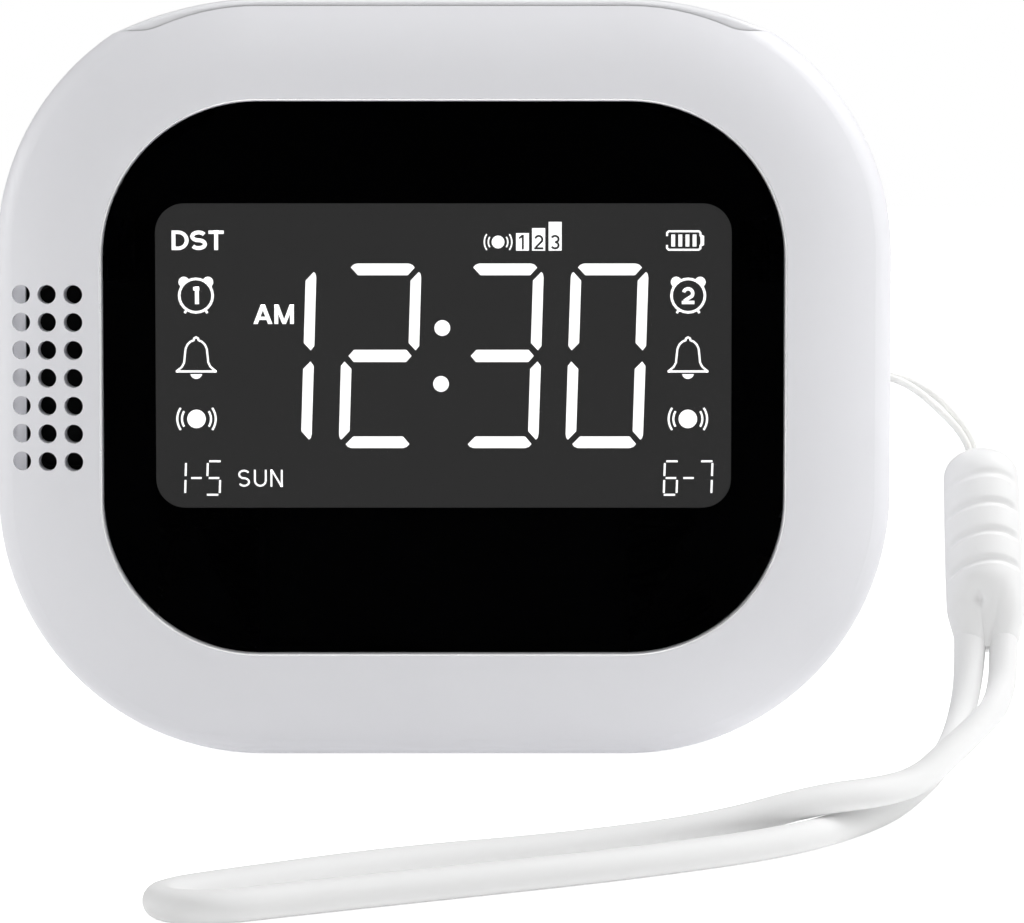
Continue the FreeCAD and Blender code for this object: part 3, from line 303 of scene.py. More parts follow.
grip = bpy.data.objects.new("grip", grip_mesh)
bpy.context.scene.collection.objects.link(grip)
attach(grip, "clock")
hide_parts("lanyard_sleeve")

# %% [markdown]
# ## Lit characters on the display
# The display shows seven-segment digits and small signs, all lit white on dark grey glass. Each shape is a
# flat outline on the panel, given a little thickness, so that it stays crisp from every angle. A shape is a
# group of loops, of which an inner one makes a hole. Each group becomes its own flat curve and then a mesh,
# so shapes may touch and overlap freely before they are joined into one piece.


# %% Outline helpers
def in_mm(corners):
    """The two corners of a box in the frame, in millimetres."""
    return [Vector(corner) / mm for corner in corners]


panel_front = in_mm(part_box("display_panel"))[0].y
guide_low, guide_high = in_mm(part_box("light_guide"))
view_middle = (guide_low + guide_high) / 2
drawing_lift = 0.3
display_place = (view_middle.x, panel_front, view_middle.z + drawing_lift)
sign_thickness, print_thickness = 0.04, 0.02


def make_mesh(piece):
    """Turn a curve into a mesh and give back the object."""
    leave_all_unselected()
    piece.select_set(True)
    bpy.context.view_layer.objects.active = piece
    bpy.ops.object.convert(target="MESH")
    return bpy.context.view_layer.objects.active


def join_all(pieces, name):
    """Join the pieces into the first of them, under one name."""
    leave_all_unselected()
    for piece in pieces:
        piece.select_set(True)
    bpy.context.view_layer.objects.active = pieces[0]
    if len(pieces) > 1:
        bpy.ops.object.join()
    pieces[0].name = name
    return pieces[0]


def flat_piece(name, groups, place, facing="front", thickness=sign_thickness):
    """Mesh from groups of closed outlines in millimetres, on a surface that faces the front or the back."""
    parts = []
    for loops in groups:
        curve = bpy.data.curves.new(name, "CURVE")
        curve.dimensions = "2D"
        curve.fill_mode = "BOTH"
        curve.extrude = thickness * mm / 2
        for loop in loops:
            spline = curve.splines.new("POLY")
            spline.points.add(len(loop) - 1)
            for point, (u, v) in zip(spline.points, loop):
                point.co = (u * mm, v * mm, 0, 1)
            spline.use_cyclic_u = True
        part = bpy.data.objects.new(name, curve)
        bpy.context.scene.collection.objects.link(part)
        parts.append(make_mesh(part))
    piece = join_all(parts, name)
    outward = -1 if facing == "front" else 1
    turn = Matrix.Rotation(math.radians(90), 4, "X")
    if facing == "back":
        turn = Matrix.Rotation(math.radians(180), 4, "Z") @ turn
    x, y, z = place
    piece.data.transform(Matrix.Translation(Vector((x, y + outward * thickness / 2, z)) * mm) @ turn)
    return piece


def arc(radius, start, end, steps=24, centre=(0, 0), squash=1.0):
    """Points on an arc from one angle to another, in degrees; a squash of its width makes it an ellipse."""
    angles = [math.radians(start + (end - start) * i / steps) for i in range(steps + 1)]
    return [(centre[0] + radius * squash * math.cos(a), centre[1] + radius * math.sin(a)) for a in angles]


def disc(radius, centre=(0, 0)):
    return arc(radius, 0, 345, 23, centre)


def block(u0, u1, v0, v1):
    """Corners of an upright rectangle."""
    return [(u0, v0), (u1, v0), (u1, v1), (u0, v1)]


def band(points, width):
    """Closed outline of a stroke that follows open points, with mitred corners."""
    sides = []
    for a, b in zip(points, points[1:]):
        along = (Vector(b) - Vector(a)).normalized()
        sides.append(Vector((-along.y, along.x)))
    left, right = [], []
    for i, point in enumerate(points):
        first, second = sides[max(i - 1, 0)], sides[min(i, len(sides) - 1)]
        offset = (first + second) / (1 + first.dot(second)) * width / 2
        left.append(tuple(Vector(point) + offset))
        right.append(tuple(Vector(point) - offset))
    return left + right[::-1]


def moved(groups, u, v, size=1.0):
    """The same groups of outlines at another place and size."""
    return [[[(u + size * a, v + size * b) for a, b in loop] for loop in loops] for loops in groups]


def plus_sign(half_long, half_thin):
    """A level stroke and an upright one."""
    return [[block(-half_long, half_long, -half_thin, half_thin)],
            [block(-half_thin, half_thin, -half_long, half_long)]]


# %% [markdown]
# ## Seven-segment digits
# Every digit uses the same seven bars, cut at slants so that neighbours leave an even gap, and leans by about
# two degrees. Three bars are drawn and the other four are their mirror images.

# %% Large digits
top_bar = [(-3.18, 8.83), (-2.95, 9.09), (-2.6, 9.22), (2.6, 9.22), (2.95, 9.09), (3.2, 8.81), (2.53, 8.05),
           (-2.43, 8.05)]
side_bar = [(3.62, 8.38), (3.78, 8.22), (3.87, 7.85), (3.88, 1.0), (3.54, 0.55), (2.82, 1.3), (2.82, 7.52)]
middle_bar = [(-3.15, 0), (-2.62, 0.61), (2.62, 0.61), (3.15, 0), (2.62, -0.61), (-2.62, -0.61)]
digit_row = -0.31
digit_places = (("1", -16.81), ("2", -6.34), ("3", 5.87), ("0", 16.32))
colon_radius, colon_places = 0.79, ((-0.12, 2.79), (-0.25, -2.8))


def mirrored(loop, across, up):
    """The loop turned over across, up, both or neither: each factor is 1 or -1."""
    return [(across * a, up * b) for a, b in loop]


bars = {
    "a": top_bar, "b": side_bar, "c": mirrored(side_bar, 1, -1), "d": mirrored(top_bar, 1, -1),
    "e": mirrored(side_bar, -1, -1), "f": mirrored(side_bar, -1, 1), "g": middle_bar,
}
digit_bars = {
    "0": "abcdef", "1": "bc", "2": "abdeg", "3": "abcdg", "5": "acdfg", "6": "acdefg", "7": "abc", "-": "g",
}
lean = math.tan(math.radians(1.81))


def leaning(loop):
    return [(a + b * lean, b) for a, b in loop]


digits = []
for sign, u in digit_places:
    digits += moved([[leaning(bars[bar])] for bar in digit_bars[sign]], u, digit_row)
digits += [[disc(colon_radius, (u, digit_row + v))] for u, v in colon_places]
lit_pieces = [flat_piece("time_digits", digits, display_place)]

# %% [markdown]
# ## Weekday ranges
# The small "1-5" and "6-7" under the signs use hair-thin bars of the same kind, so each bar is a straight
# stroke that stops short of its neighbours.

# %% Small digits
half_cell, cell_rise = 0.64, 1.68
bar_start, bar_end = 0.2, 1.5
hair_width = 0.2
small_ends = {
    "a": ((-0.5, cell_rise), (half_cell, cell_rise)),
    "b": ((half_cell, bar_end), (half_cell, bar_start)),
    "c": ((half_cell, -bar_start), (half_cell, -bar_end)),
    "d": ((-half_cell, -cell_rise), (0.5, -cell_rise)),
    "e": ((-half_cell, -bar_start), (-half_cell, -bar_end)),
    "f": ((-half_cell, bar_end), (-half_cell, bar_start)),
    "g": ((-0.5, 0), (0.55, 0)),
}
weekday_row = -12.53
weekday_places = (("1", -26.46), ("-", -24.76), ("5", -23.0), ("6", 22.72), ("-", 24.48), ("7", 26.2))
small = []
for sign, u in weekday_places:
    small += moved([[leaning(band(small_ends[bar], hair_width))] for bar in digit_bars[sign]], u, weekday_row)
lit_pieces.append(flat_piece("weekday_ranges", small, display_place))

# %% [markdown]
# ## Signs
# An alarm clock, a bell and a vibrating dot stand on each side of the time, with the battery and the
# vibration level above it. They are drawn from arcs and strokes, as a sign painter would, once each.


# %% Display signs
def vibration_sign(dot, inner, outer, stroke):
    """A dot between two pairs of arcs."""
    groups = [[disc(dot)]]
    for radius, half_angle in ((inner, 32), (outer, 35)):
        for middle in (0, 180):
            groups.append([band(arc(radius, middle - half_angle, middle + half_angle, 14), stroke)])
    return groups


def alarm_clock_sign():
    """A ring on two short feet, with two bells that are pushed out until they follow the ring."""
    ring_outer, ring_inner = 1.8, 1.54
    bell_radius, bell_floor, foot_stroke = 0.54, 1.68, 0.24
    groups = [[disc(ring_outer), disc(ring_inner)]]
    for side in (-1, 1):
        bell = []
        for a, b in disc(bell_radius, (side * 1.2, 1.35)):
            push = max(1, bell_floor / math.hypot(a, b))
            bell.append((a * push, b * push))
        groups.append([bell])
        groups.append([band([(side * 0.95, -1.45), (side * 1.14, -1.75)], foot_stroke)])
    return groups


def bell_sign():
    """A hand bell's outline over its rim, with the clapper under it."""
    half = [(0.2, 3.26), (0.24, 3.06), (0.55, 2.94), (0.85, 2.66), (1.05, 2.25), (1.13, 1.6), (1.2, 0.85),
            (1.42, 0.42), (1.72, 0.16), (1.95, -0.04)]
    path = [(-a, b) for a, b in half[::-1]] + [(0.0, 3.36)] + half
    clapper = [(-0.6, -0.32)] + arc(0.6, 200, 340, 12, (0, -0.2)) + [(0.6, -0.32)]
    return [[band(path, 0.2)], [block(-2.03, 2.03, -0.16, 0.06)], [clapper]]


def battery_sign():
    """A battery's outline with four bars inside and a solid nub at its end."""
    wide, tall, nub, stroke = 3.33, 0.92, 0.26, 0.2
    outline = [(0, 0.44), (0, 0.76), (0.16, tall), (wide - 0.16, tall), (wide, 0.76), (wide, 0.5),
               (wide + nub, 0.4), (wide + nub, -0.4), (wide, -0.5), (wide, -0.76), (wide - 0.16, -tall),
               (0.16, -tall), (0, -0.76), (0, -0.44)]
    bars_inside = [[block(u, u + 0.38, -0.6, 0.6)] for u in (0.42, 1.13, 1.84, 2.55)]
    return [[band(outline, stroke)], [block(wide, wide + nub, -0.4, 0.4)]] + bars_inside


signs = []
for u in (-24.7, 24.42):
    signs += [("alarm_clock", alarm_clock_sign(), u, 5.71), ("bell", bell_sign(), u, -1.81),
              ("vibration", vibration_sign(0.93, 1.45, 1.92, 0.21), u, -6.61)]
signs.append(("level", vibration_sign(0.64, 0.97, 1.37, 0.15), 5.45, 11.05))
signs.append(("battery", battery_sign(), 22.3, 11.2))
for i, (name, groups, u, v) in enumerate(signs):
    lit_pieces.append(flat_piece(f"{name}_sign_{i}", moved(groups, u, v), display_place))
level_foot = 10.19
level_blocks = [[block(7.24, 8.53, level_foot, 11.94)], [block(8.84, 10.15, level_foot, 12.44)],
                [block(10.49, 11.79, level_foot, 13.06)]]
lit_pieces.append(flat_piece("level_blocks", level_blocks, display_place))

# %% [markdown]
# ## Words
# The display has three generic words and a few numbers. Blender's own typeface is not like them, so the
# letters are built as they were for old displays: from straight strokes and arcs of one width, fitted to a
# box.


# %% Letters
bold, light, fine = 0.39, 0.19, 0.2
bold_from = 0.3


def letter(sign, wide, tall, stroke):
    """Groups of outlines for one letter or number that fills a box, with strokes of one width.

    A bold 1 has a square flag and a thin one a slanting flag. A sign with no drawing of its own is a 3."""
    half = stroke / 2
    middle = wide / 2
    slope = stroke * 1.12
    if sign == "D":
        bow = wide * 0.62
        outer = [(0, tall), (0, 0)] + arc(tall / 2, -90, 90, 20, (wide - bow, tall / 2), bow / (tall / 2))
        inner_tall, inner_bow = tall / 2 - stroke * 0.9, bow - stroke
        inner = [(stroke, tall / 2 + inner_tall), (stroke, tall / 2 - inner_tall)]
        inner += arc(inner_tall, -90, 90, 20, (wide - bow, tall / 2), inner_bow / inner_tall)
        return [[outer, inner]]
    if sign == "S":
        rise = (tall - stroke) / 4
        squash = (wide - stroke) / 2 / rise
        upper = arc(rise, 28, 270, 18, (middle, tall / 2 + rise), squash)
        lower = arc(rise, 90, -152, 18, (middle, tall / 2 - rise), squash)
        return [[band(upper + lower[1:], stroke)]]
    if sign == "T":
        return [[block(0, wide, tall - stroke * 0.88, tall)], [block(middle - half, middle + half, 0, tall)]]
    if sign == "A":
        leg = [(0, 0), (slope, 0), (middle + slope * 0.5, tall), (middle - slope * 0.5, tall)]
        cross = block(wide * 0.22, wide * 0.78, tall * 0.21, tall * 0.21 + stroke * 0.85)
        return [[leg], [[(wide - a, b) for a, b in leg]], [cross]]
    if sign == "M":
        slant = [(0, tall), (slope, tall), (middle + half * 0.9, 0), (middle - half * 0.9, 0)]
        stems = [[block(0, stroke, 0, tall)], [block(wide - stroke, wide, 0, tall)]]
        return stems + [[slant], [[(wide - a, b) for a, b in slant]]]
    if sign == "N":
        slant = [(0, tall), (slope, tall), (wide, 0), (wide - slope, 0)]
        return [[block(0, stroke, 0, tall)], [block(wide - stroke, wide, 0, tall)], [slant]]
    if sign == "U":
        bowl = (wide - stroke) / 2
        path = [(half, tall)] + arc(bowl, 180, 360, 16, (middle, bowl + half)) + [(wide - half, tall)]
        return [[band(path, stroke)]]
    if sign == "1" and stroke > bold_from:
        return [[block(wide - stroke, wide, 0, tall)], [block(0, wide, tall * 0.79, tall)]]
    if sign == "1":
        flag = [(0, tall * 0.7), (wide - stroke, tall * 0.82), (wide - half, tall), (wide - stroke, tall),
                (0, tall * 0.7 + stroke * 0.9)]
        return [[block(wide - stroke, wide, 0, tall)], [flag]]
    if sign == "2":
        top = (wide - stroke) / 2
        path = arc(top, 165, -35, 16, (middle, tall - half - top)) + [(half * 1.4, stroke * 0.9)]
        return [[band(path, stroke)], [block(0, wide, 0, stroke)]]
    rise = (tall - stroke) / 4
    squash = (wide - stroke) / 2 / rise
    return [[band(arc(rise, 155, -90, 18, (middle, tall / 2 + rise), squash), stroke)],
            [band(arc(rise, 90, -155, 18, (middle, tall / 2 - rise), squash), stroke)]]


def word(name, letters, low, high, stroke, lift=0.0):
    """A word from its letters, the left and right side of each, and the lift in front of the panel."""
    groups = []
    for sign, left, right in letters:
        groups += moved(letter(sign, right - left, high - low, stroke), left, low)
    x, y, z = display_place
    return flat_piece(name, groups, (x, y - lift, z))


lit_pieces += [
    word("word_dst", [("D", -27.1, -25.4), ("S", -25.24, -23.58), ("T", -23.42, -21.9)], 10.25, 12.2, bold),
    word("word_am", [("A", -18.98, -17.07), ("M", -16.88, -14.93)], 2.88, 4.8, bold),
    word("word_sun", [("S", -20.55, -19.38), ("U", -18.98, -17.7), ("N", -17.33, -16.1)], -13.4, -11.7,
         light),
    word("alarm_number_1", [("1", -24.98, -24.4)], 4.86, 6.58, 0.4),
    word("alarm_number_2", [("2", 23.78, 25.04)], 4.86, 6.56, 0.34),
]
level_numbers = (("1", 7.52, 8.02), ("2", 9.06, 9.96), ("3", 10.68, 11.58))
number_lift = 0.05
dark_pieces = [word(f"level_number_{number[0]}", [number], 10.32, 11.76, fine, number_lift)
               for number in level_numbers]
for piece in lit_pieces + dark_pieces:
    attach(piece, "clock")
print("display pieces:", len(lit_pieces) + len(dark_pieces))

# %% [markdown]
# ## Ink on the window film
# The film's print is an even black frame round the display. It stands as a thin layer of its own inside the
# film, so that the edge of the display glass never shows through where the clear window and the film touch.

# %% Ink layer
glass_low, glass_high = (corner - view_middle for corner in in_mm(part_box("display_panel")))
film_back = in_mm(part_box("window_mask"))[1].y
view_half_wide, view_half_tall, view_corner = 28.75, 15.2, 2.9
ink_overlap, ink_gap, ink_depth = 1.0, 0.03, 0.08


def rounded(half_wide, half_tall, corner):
    """Outline of a rectangle with round corners."""
    outline = []
    for quarter, (a, b) in enumerate(((1, 1), (-1, 1), (-1, -1), (1, -1))):
        centre = (a * (half_wide - corner), b * (half_tall - corner))
        outline += arc(corner, 90 * quarter, 90 * quarter + 90, 12, centre)
    return outline


ink_outside = block(glass_low.x - ink_overlap, glass_high.x + ink_overlap,
                    glass_low.z - ink_overlap, glass_high.z + ink_overlap)
ink_opening = rounded(view_half_wide + ink_gap, view_half_tall + ink_gap, view_corner)
ink_place = (view_middle.x, film_back - ink_depth, view_middle.z)
ink_layer = flat_piece("ink_layer", [[ink_outside, ink_opening]], ink_place)
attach(ink_layer, "clock")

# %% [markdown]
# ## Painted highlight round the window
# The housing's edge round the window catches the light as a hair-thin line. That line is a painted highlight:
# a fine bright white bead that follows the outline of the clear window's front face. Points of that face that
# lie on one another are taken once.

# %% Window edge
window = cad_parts["display_lens"]
window_low, window_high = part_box("display_lens")
centre = (window_low + window_high) / 2
face_depth, point_gap = 0.01, 0.05
edge_gap, edge_radius, edge_rise = 0.16, 0.075, 0.03
face_points = [v.co for v in window.data.vertices if v.co.y < window_low.y + face_depth * mm]
face_points.sort(key=lambda point: math.atan2(point.z - centre.z, point.x - centre.x))
face_points = [point for before, point in zip([face_points[-1]] + face_points, face_points)
               if (before - point).length > point_gap * mm]
edge_curve = bpy.data.curves.new("painted_highlight_edge", "CURVE")
edge_curve.dimensions = "3D"
edge_curve.bevel_depth = 1.0
edge_curve.bevel_resolution = 1
edge_line = edge_curve.splines.new("POLY")
edge_line.points.add(len(face_points) - 1)
for i, point in enumerate(face_points):
    along = face_points[(i + 1) % len(face_points)] - face_points[i - 1]
    outward = Vector((along.z, 0, -along.x)).normalized()
    place = point + outward * edge_gap * mm
    edge_line.points[i].co = (place.x, window_low.y - edge_rise * mm, place.z, 1)
    edge_line.points[i].radius = edge_radius * mm
edge_line.use_cyclic_u = True
painted_highlight_edge = bpy.data.objects.new("painted_highlight_edge", edge_curve)
bpy.context.scene.collection.objects.link(painted_highlight_edge)
painted_highlight_edge = make_mesh(painted_highlight_edge)
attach(painted_highlight_edge, "clock")

# %% [markdown]
# ## Signs on the keys
# Each key on the back carries a small printed sign, read from behind: the two alarms, the time, down, up and
# vibration. The print is a thin film, thinner than the lit signs, and moves with its key.


# %% Key signs
def time_sign():
    """A ring with two clock hands."""
    return [[disc(1.2), disc(0.98)], [band([(0, 0.72), (0, 0), (0.5, -0.3)], 0.2)]]


def alarm_sign(number):
    """A small alarm clock with a number in the middle."""
    clock_size = 0.8
    wide, tall, stroke = 0.42 if number == "1" else 0.86, 1.3, 0.24
    digit = letter(number, wide, tall, stroke)
    return moved(alarm_clock_sign(), 0, 0, clock_size) + moved(digit, -wide / 2, -tall / 2)


up_sign = plus_sign(1.0, 0.12)
key_signs = {
    "alarm_one_key": alarm_sign("1"), "alarm_two_key": alarm_sign("2"), "time_key": time_sign(),
    "down_key": up_sign[:1], "up_key": up_sign, "vibration_key": vibration_sign(0.62, 1.0, 1.36, 0.16),
}
printed_signs = []
for key, groups in key_signs.items():
    key_low, key_high = in_mm(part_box(key))
    middle = (key_low + key_high) / 2
    sign_place = (middle.x, key_high.y, middle.z)
    sign = flat_piece(key.replace("_key", "_print"), groups, sign_place, "back", print_thickness)
    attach(sign, key + "_body")
    printed_signs.append(sign)
print("key signs:", len(printed_signs))

# %% [markdown]
# ## Screw recesses
# The case screws sit in sinks in the back, and each head has a cross recess, whose shade is painted as a thin
# dark cross.

# %% Screw recesses
screw_low, screw_high = in_mm(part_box("case_screws"))
screw_head_radius = 2.0
crosses = []
for x in (screw_low.x + screw_head_radius, screw_high.x - screw_head_radius):
    for z in (screw_low.z + screw_head_radius, screw_high.z - screw_head_radius):
        crosses += moved(plus_sign(1.05, 0.21), -x, z)
# Painted shade: a flat black cross stands for the shadowed hollow of each screw's recess.
painted_recess_shade = flat_piece("painted_recess_shade", crosses, (0, screw_high.y, 0), "back", print_thickness)
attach(painted_recess_shade, "clock")

# %% [markdown]
# ## Plain plastics
# The case is ABS, moulded against a finely etched steel tool: a soft satin that scatters light widely, with a
# grain far too small to see, about 0.05 mm. The grain is drawn at 0.25 mm so that it shows at all, and a very
# broad, weak variation in tone stands for the flow of the melt. Other plastics follow the same recipe. The
# snooze bar has painted shade in its seam, where little light gets in, and its base is painted lighter than
# the case's, as painted light on its rounded top.


# %% Moulded plastic
def moulded(name, base, roughness, grain_mm=0.25, relief=0.004, tone=0.02, painted_shade_mm=0.0):
    """Plastic with a fine etched grain, a faint cloudiness and painted shade in creases up to the given
    width.
    """
    material, tree = blank_material(name)
    place = add(tree, "TexCoord").outputs["Object"]
    cloud = add(tree, "TexNoise", {"Scale": 45.0, "Detail": 3.0, "Roughness": 0.5}, {"Vector": place})
    grain = add(tree, "TexNoise", {"Scale": 1 / (grain_mm * mm) / 2, "Detail": 2.0}, {"Vector": place})
    tint = blend(tree, cloud.outputs["Fac"], scaled(colour(base), 1 - tone), scaled(colour(base), 1 + tone))
    rough = between(tree, roughness - 0.04, roughness + 0.04, grain.outputs["Fac"])
    bump = add(tree, "Bump", {"Strength": 0.35, "Distance": relief * mm}, {"Height": grain.outputs["Fac"]})
    # Painted shade: the base colour is multiplied darker where ambient occlusion finds a crease.
    if painted_shade_mm:
        openness = add(tree, "AmbientOcclusion", {"samples": 8, "Distance": painted_shade_mm * mm})
        shade = add(tree, "MapRange", {"From Min": 0.45, "From Max": 0.8, "To Min": 0.35, "To Max": 1.0},
                    {"Value": openness.outputs["AO"]})
        darker = add(tree, "Mix", {"data_type": "RGBA", "blend_type": "MULTIPLY", mix_share: 1.0},
                     {mix_first: tint, mix_second: shade.outputs["Result"]})
        tint = darker.outputs[mix_result]
    shader = add(tree, "BsdfPrincipled", {"IOR": 1.53},
                 {"Base Color": tint, "Roughness": rough, "Normal": bump.outputs["Normal"]})
    finish_material(tree, shader.outputs["BSDF"])
    return material


case_plastic = moulded("abs_case_etched", "#EAEAEE", 0.48)
# The snooze bar's base is painted lighter than the case's, as painted light on its rounded top; its seam gets
# painted shade.
bar_plastic = moulded("abs_snooze_bar_painted_light_and_shade", "#F3F3F6", 0.42, painted_shade_mm=0.7)
key_plastic = moulded("abs_keys_satin", "#E4E4E8", 0.4)
frame_plastic = moulded("abs_frame_natural", "#DCDCDC", 0.5)
black_plastic = moulded("abs_black", "#141415", 0.5)
rubber = moulded("tpe_feet_grey", "#B9B9BB", 0.7, relief=0.01)
foam = moulded("foam_black", "#1C1C1E", 0.9, grain_mm=0.5, relief=0.05)
acrylic = moulded("acrylic_frosted", "#E9ECEF", 0.35)
solder_mask = moulded("board_green", "#1E5A38", 0.35)
key_ink = moulded("ink_pad_printed_grey", "#55565A", 0.6, relief=0.001)
dress(case_plastic, "front_housing", "rear_housing")
dress(bar_plastic, "snooze_bar")
dress(key_plastic, "alarm_one_key", "alarm_two_key", "time_key", "down_key", "up_key", "vibration_key")
dress(frame_plastic, "display_frame")
dress(black_plastic, "snooze_stems", "snooze_switches", "key_switches", "speaker_frame", "board_chips",
      painted_recess_shade)
dress(rubber, "foot_pads")
dress(key_ink, *printed_signs)
dress(foam, "battery_pad", "speaker_gasket", "speaker_cone")
dress(acrylic, "light_guide")
dress(solder_mask, "main_board", "snooze_board", "key_board", "charge_board")

# %% [markdown]
# ## Metals
# Sheet metal shows the lines that rolling and drawing left along it, so the noise is stretched one way. The
# foil round the battery is dull and slightly crumpled. The brightest white metal of all makes the painted
# highlight round the window.


# %% Brushed metals
def brushed(name, base, roughness, stretch=(400.0, 4000.0, 400.0), relief=0.002):
    """Metal with fine lines: the stretch says how close they lie along each axis."""
    material, tree = blank_material(name)
    place = add(tree, "TexCoord").outputs["Object"]
    stretched = add(tree, "Mapping", {"Scale": stretch}, {"Vector": place})
    lines = add(tree, "TexNoise", {"Scale": 1.0, "Detail": 3.0}, {"Vector": stretched.outputs["Vector"]})
    tint = blend(tree, lines.outputs["Fac"], scaled(colour(base), 0.85), colour(base))
    rough = between(tree, roughness - 0.06, roughness + 0.08, lines.outputs["Fac"])
    bump = add(tree, "Bump", {"Strength": 0.3, "Distance": relief * mm}, {"Height": lines.outputs["Fac"]})
    shader = add(tree, "BsdfPrincipled", {"Metallic": 1.0},
                 {"Base Color": tint, "Roughness": rough, "Normal": bump.outputs["Normal"]})
    finish_material(tree, shader.outputs["BSDF"])
    return material


steel = brushed("steel_nickel_plated", "#C6C6C8", 0.3)
dark_steel = brushed("steel_stamped", "#A9A9AC", 0.38)
foil = brushed("aluminium_laminate_foil", "#CDCED1", 0.4, (90.0, 90.0, 90.0), 0.03)
brass = brushed("brass_turned", "#C9A557", 0.32)
dress(steel, "board_screws", "clamp_screws", "case_screws", "charging_socket", "motor_can", "motor_shaft",
      "lanyard_pin")
dress(dark_steel, "motor_clamp", "speaker_magnet")
dress(foil, "battery_pack")
# The white metal bead round the window is a painted highlight where the housing's edge catches the light.
dress(brushed("painted_highlight_white", "#FFFFFF", 0.28), painted_highlight_edge)
dress(brass, "motor_weight")

# %% [markdown]
# ## Window, mask and lit display
# The window is a sheet of smoked acrylic with an anti-glare skin. Behind it a film is printed black, and its
# opening shows the display: a dark grey glass with bright white shapes, lit from behind.


# %% Window and display
def smoked_lens():
    """Dark acrylic that lets most light through and hardly mirrors."""
    material, tree = blank_material("acrylic_smoked_window")
    place = add(tree, "TexCoord").outputs["Object"]
    haze = add(tree, "TexNoise", {"Scale": 300.0, "Detail": 2.0}, {"Vector": place})
    rough = between(tree, 0.06, 0.1, haze.outputs["Fac"])
    look = {"Base Color": colour("#020203"), "Alpha": 0.12, "IOR": 1.49, "Specular IOR Level": 0.02}
    shader = add(tree, "BsdfPrincipled", look, {"Roughness": rough})
    finish_material(tree, shader.outputs["BSDF"])
    return material


def printed_black():
    """Black ink with the faint dots of a printing screen."""
    material, tree = blank_material("ink_screen_printed_black")
    place = add(tree, "TexCoord").outputs["Object"]
    dots = add(tree, "TexNoise", {"Scale": 2500.0, "Detail": 1.0}, {"Vector": place})
    tint = blend(tree, dots.outputs["Fac"], colour("#010101"), colour("#040405"))
    look = {"Roughness": 0.7, "Specular IOR Level": 0.0}
    shader = add(tree, "BsdfPrincipled", look, {"Base Color": tint})
    finish_material(tree, shader.outputs["BSDF"])
    return material


def backlit(name, base, glow, strength, scale, spread):
    """A surface lit from behind, whose light varies a little from place to place."""
    material, tree = blank_material(name)
    place = add(tree, "TexCoord").outputs["Object"]
    patches = add(tree, "TexNoise", {"Scale": scale, "Detail": 2.0}, {"Vector": place})
    level = between(tree, strength * (1 - spread), strength * (1 + spread), patches.outputs["Fac"])
    look = {"Base Color": colour(base), "Emission Color": colour(glow), "Roughness": 0.6,
            "Specular IOR Level": 0.0}
    shader = add(tree, "BsdfPrincipled", look, {"Emission Strength": level})
    finish_material(tree, shader.outputs["BSDF"])
    return material


lens_material = smoked_lens()
mask_ink = printed_black()
panel_glass = backlit("display_glass_dark", "#1B1B1B", "#FFFFFF", 0.031, 60.0, 0.04)
lit_shapes = backlit("display_lit_white", "#FFFFFF", "#FFFFFF", 1.0, 200.0, 0.03)
dress(lens_material, "display_lens")
dress(mask_ink, "window_mask", ink_layer)
dress(panel_glass, "display_panel", *dark_pieces)
dress(lit_shapes, *lit_pieces)

# %% [markdown]
# ## Lanyard finishes
# The strap and the string are soft and white, with a dull sheen. Their threads are only 0.25 to 0.35 mm
# apart, so small rounded cells stand for them. The grip is a soft plastic with a slightly coarser grain than
# the case.


# %% Cord and grip materials
def braided(name, base, shade, pitch_mm, relief, roughness, sheen):
    """Cord of fine threads, whose tone drifts a little between the shade and the base."""
    material, tree = blank_material(name)
    place = add(tree, "TexCoord").outputs["Object"]
    weave = add(tree, "TexVoronoi", {"Scale": 1 / (pitch_mm * mm), "Randomness": 0.35}, {"Vector": place})
    cloud = add(tree, "TexNoise", {"Scale": 30.0, "Detail": 2.0}, {"Vector": place})
    tint = blend(tree, cloud.outputs["Fac"], colour(shade), colour(base))
    cells = weave.outputs["Distance"]
    bump = add(tree, "Bump", {"Strength": 0.4, "Distance": relief * mm}, {"Height": cells})
    rough = between(tree, roughness - 0.05, roughness + 0.05, cells)
    look = {"Sheen Weight": sheen, "Sheen Roughness": 0.4, "Specular IOR Level": 0.3}
    shader = add(tree, "BsdfPrincipled", look,
                 {"Base Color": tint, "Roughness": rough, "Normal": bump.outputs["Normal"]})
    finish_material(tree, shader.outputs["BSDF"])
    return material


strap_material = braided("polyester_strap_braided", "#EDEDED", "#E9E9E9", 0.35, 0.01, 0.65, 0.35)
string_material = braided("nylon_string_twisted", "#FCFCFA", "#F6F6F3", 0.25, 0.012, 0.6, 0.4)
grip_plastic = moulded("tpe_grip_soft_white", "#ECECEC", 0.55, grain_mm=0.4, relief=0.01, tone=0.015)
dress(strap_material, strap)
dress(string_material, string)
dress(grip_plastic, grip)

# %% [markdown]
# ## Table and light
# The clock stands on a seamless white table, which is lit a little from within, as a product photographer's
# light table is. Soft lamps stand at both sides and above it, the strongest of them high on the right and
# high in front. Nothing shines from straight ahead, so the domed rim is a little darker towards the window
# than at its edge. Where the table is seen, mirrored or looked at through the window it is paler, and more so
# farther off, until it meets the white of the room.

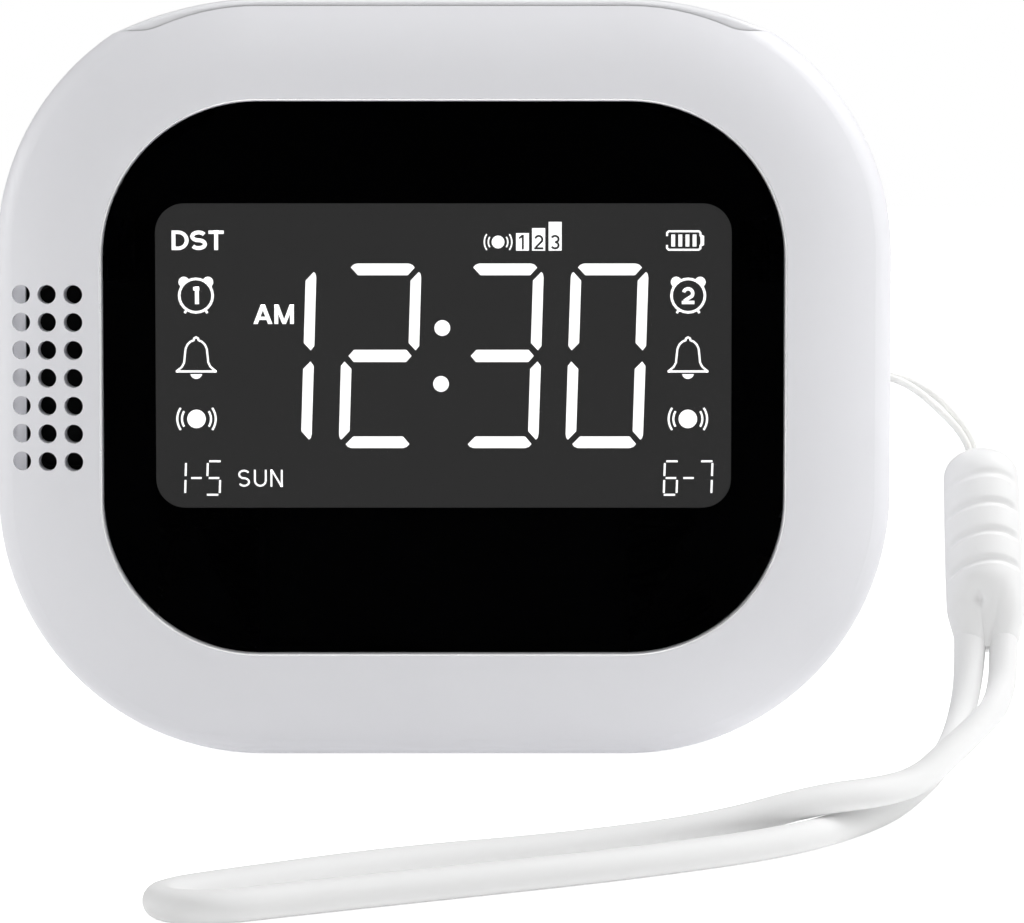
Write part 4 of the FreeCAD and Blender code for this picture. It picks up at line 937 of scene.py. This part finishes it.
# %% Table
table_size, table_drop = 60.0, 0.00002
table_glow = 0.22
leave_all_unselected()
bpy.ops.mesh.primitive_plane_add(size=table_size, location=(0, 0, -table_drop))
table = bpy.context.active_object
table.name = "table"
material, tree = blank_material("table_white")
place = add(tree, "TexCoord").outputs["Object"]
mottle = add(tree, "TexNoise", {"Scale": 6.0}, {"Vector": place})
tint = blend(tree, mottle.outputs["Fac"], colour("#ECECEC"), colour("#EFEFEF"))
surface = add(tree, "BsdfDiffuse", {}, {"Color": tint})
path = add(tree, "LightPath")
seen = add(tree, "Math", {"operation": "MAXIMUM"},
           {0: path.outputs["Is Camera Ray"], 1: path.outputs["Is Glossy Ray"]})
seen = add(tree, "Math", {"operation": "MAXIMUM"},
           {0: seen.outputs[0], 1: path.outputs["Is Transmission Ray"]})
distance = add(tree, "VectorMath", {"operation": "LENGTH"}, {0: place})
paleness = add(tree, "MapRange", {"From Min": 0.3, "From Max": 1.2, "To Min": 0.5, "To Max": 0.9},
               {"Value": distance.outputs["Value"]})
lift = add(tree, "Math", {"operation": "MULTIPLY_ADD", 2: table_glow},
           {0: seen.outputs[0], 1: paleness.outputs["Result"]})
glow = add(tree, "Emission", {"Color": (1, 1, 1, 1)}, {"Strength": lift.outputs[0]})
both = add(tree, "AddShader", {}, {0: surface.outputs[0], 1: glow.outputs[0]})
finish_material(tree, both.outputs[0])
dress(material, table)

# %% World
room_strength = 0.3
world = bpy.data.worlds.new("white_room")
bpy.context.scene.world = world
world.use_nodes = True
tree = world.node_tree
tree.nodes.clear()
path = add(tree, "LightPath")
seen = add(tree, "Math", {"operation": "MAXIMUM"},
           {0: path.outputs["Is Camera Ray"], 1: path.outputs["Is Transmission Ray"]})
height = add(tree, "SeparateXYZ", {}, {0: add(tree, "TexCoord").outputs["Generated"]})
fade = add(tree, "Math", {"operation": "MULTIPLY", "use_clamp": True, 1: room_strength},
           {0: height.outputs["Z"]})
room_light = add(tree, "Background", {"Color": (1, 1, 1, 1)}, {"Strength": fade.outputs[0]})
room_white = add(tree, "Background", {"Color": (1, 1, 1, 1), "Strength": 1.0})
mixed = add(tree, "MixShader", {}, {0: seen.outputs[0], 1: room_light.outputs[0], 2: room_white.outputs[0]})
add(tree, "OutputWorld", links={"Surface": mixed.outputs[0]})


# %% Lamps
lamp_aim = Vector((0, 0, 0.04))


def lamp(name, place, size, power):
    """Square soft lamp that shines at the clock, with its place and size in metres and its power in watts."""
    data = bpy.data.lights.new(name, "AREA")
    data.shape = "SQUARE"
    data.size = size
    data.energy = power
    light = bpy.data.objects.new(name, data)
    bpy.context.scene.collection.objects.link(light)
    light.location = place
    light.rotation_euler = (lamp_aim - Vector(place)).to_track_quat("-Z", "Y").to_euler()


lamp("lamp_top_right", (0.42, 0.06, 0.5), 0.3, 2.37)
lamp("lamp_right", (0.62, 0.0, 0.2), 0.3, 0.55)
lamp("lamp_left", (-0.62, 0.06, 0.2), 0.3, 1.2)
lamp("lamp_top", (0.0, -0.02, 0.72), 0.5, 0.4)
lamp("lamp_top_front", (0.0, -0.5, 0.6), 0.5, 1.88)

# %% View transform
bpy.context.scene.view_settings.view_transform = "Standard"
bpy.context.view_layer.update()
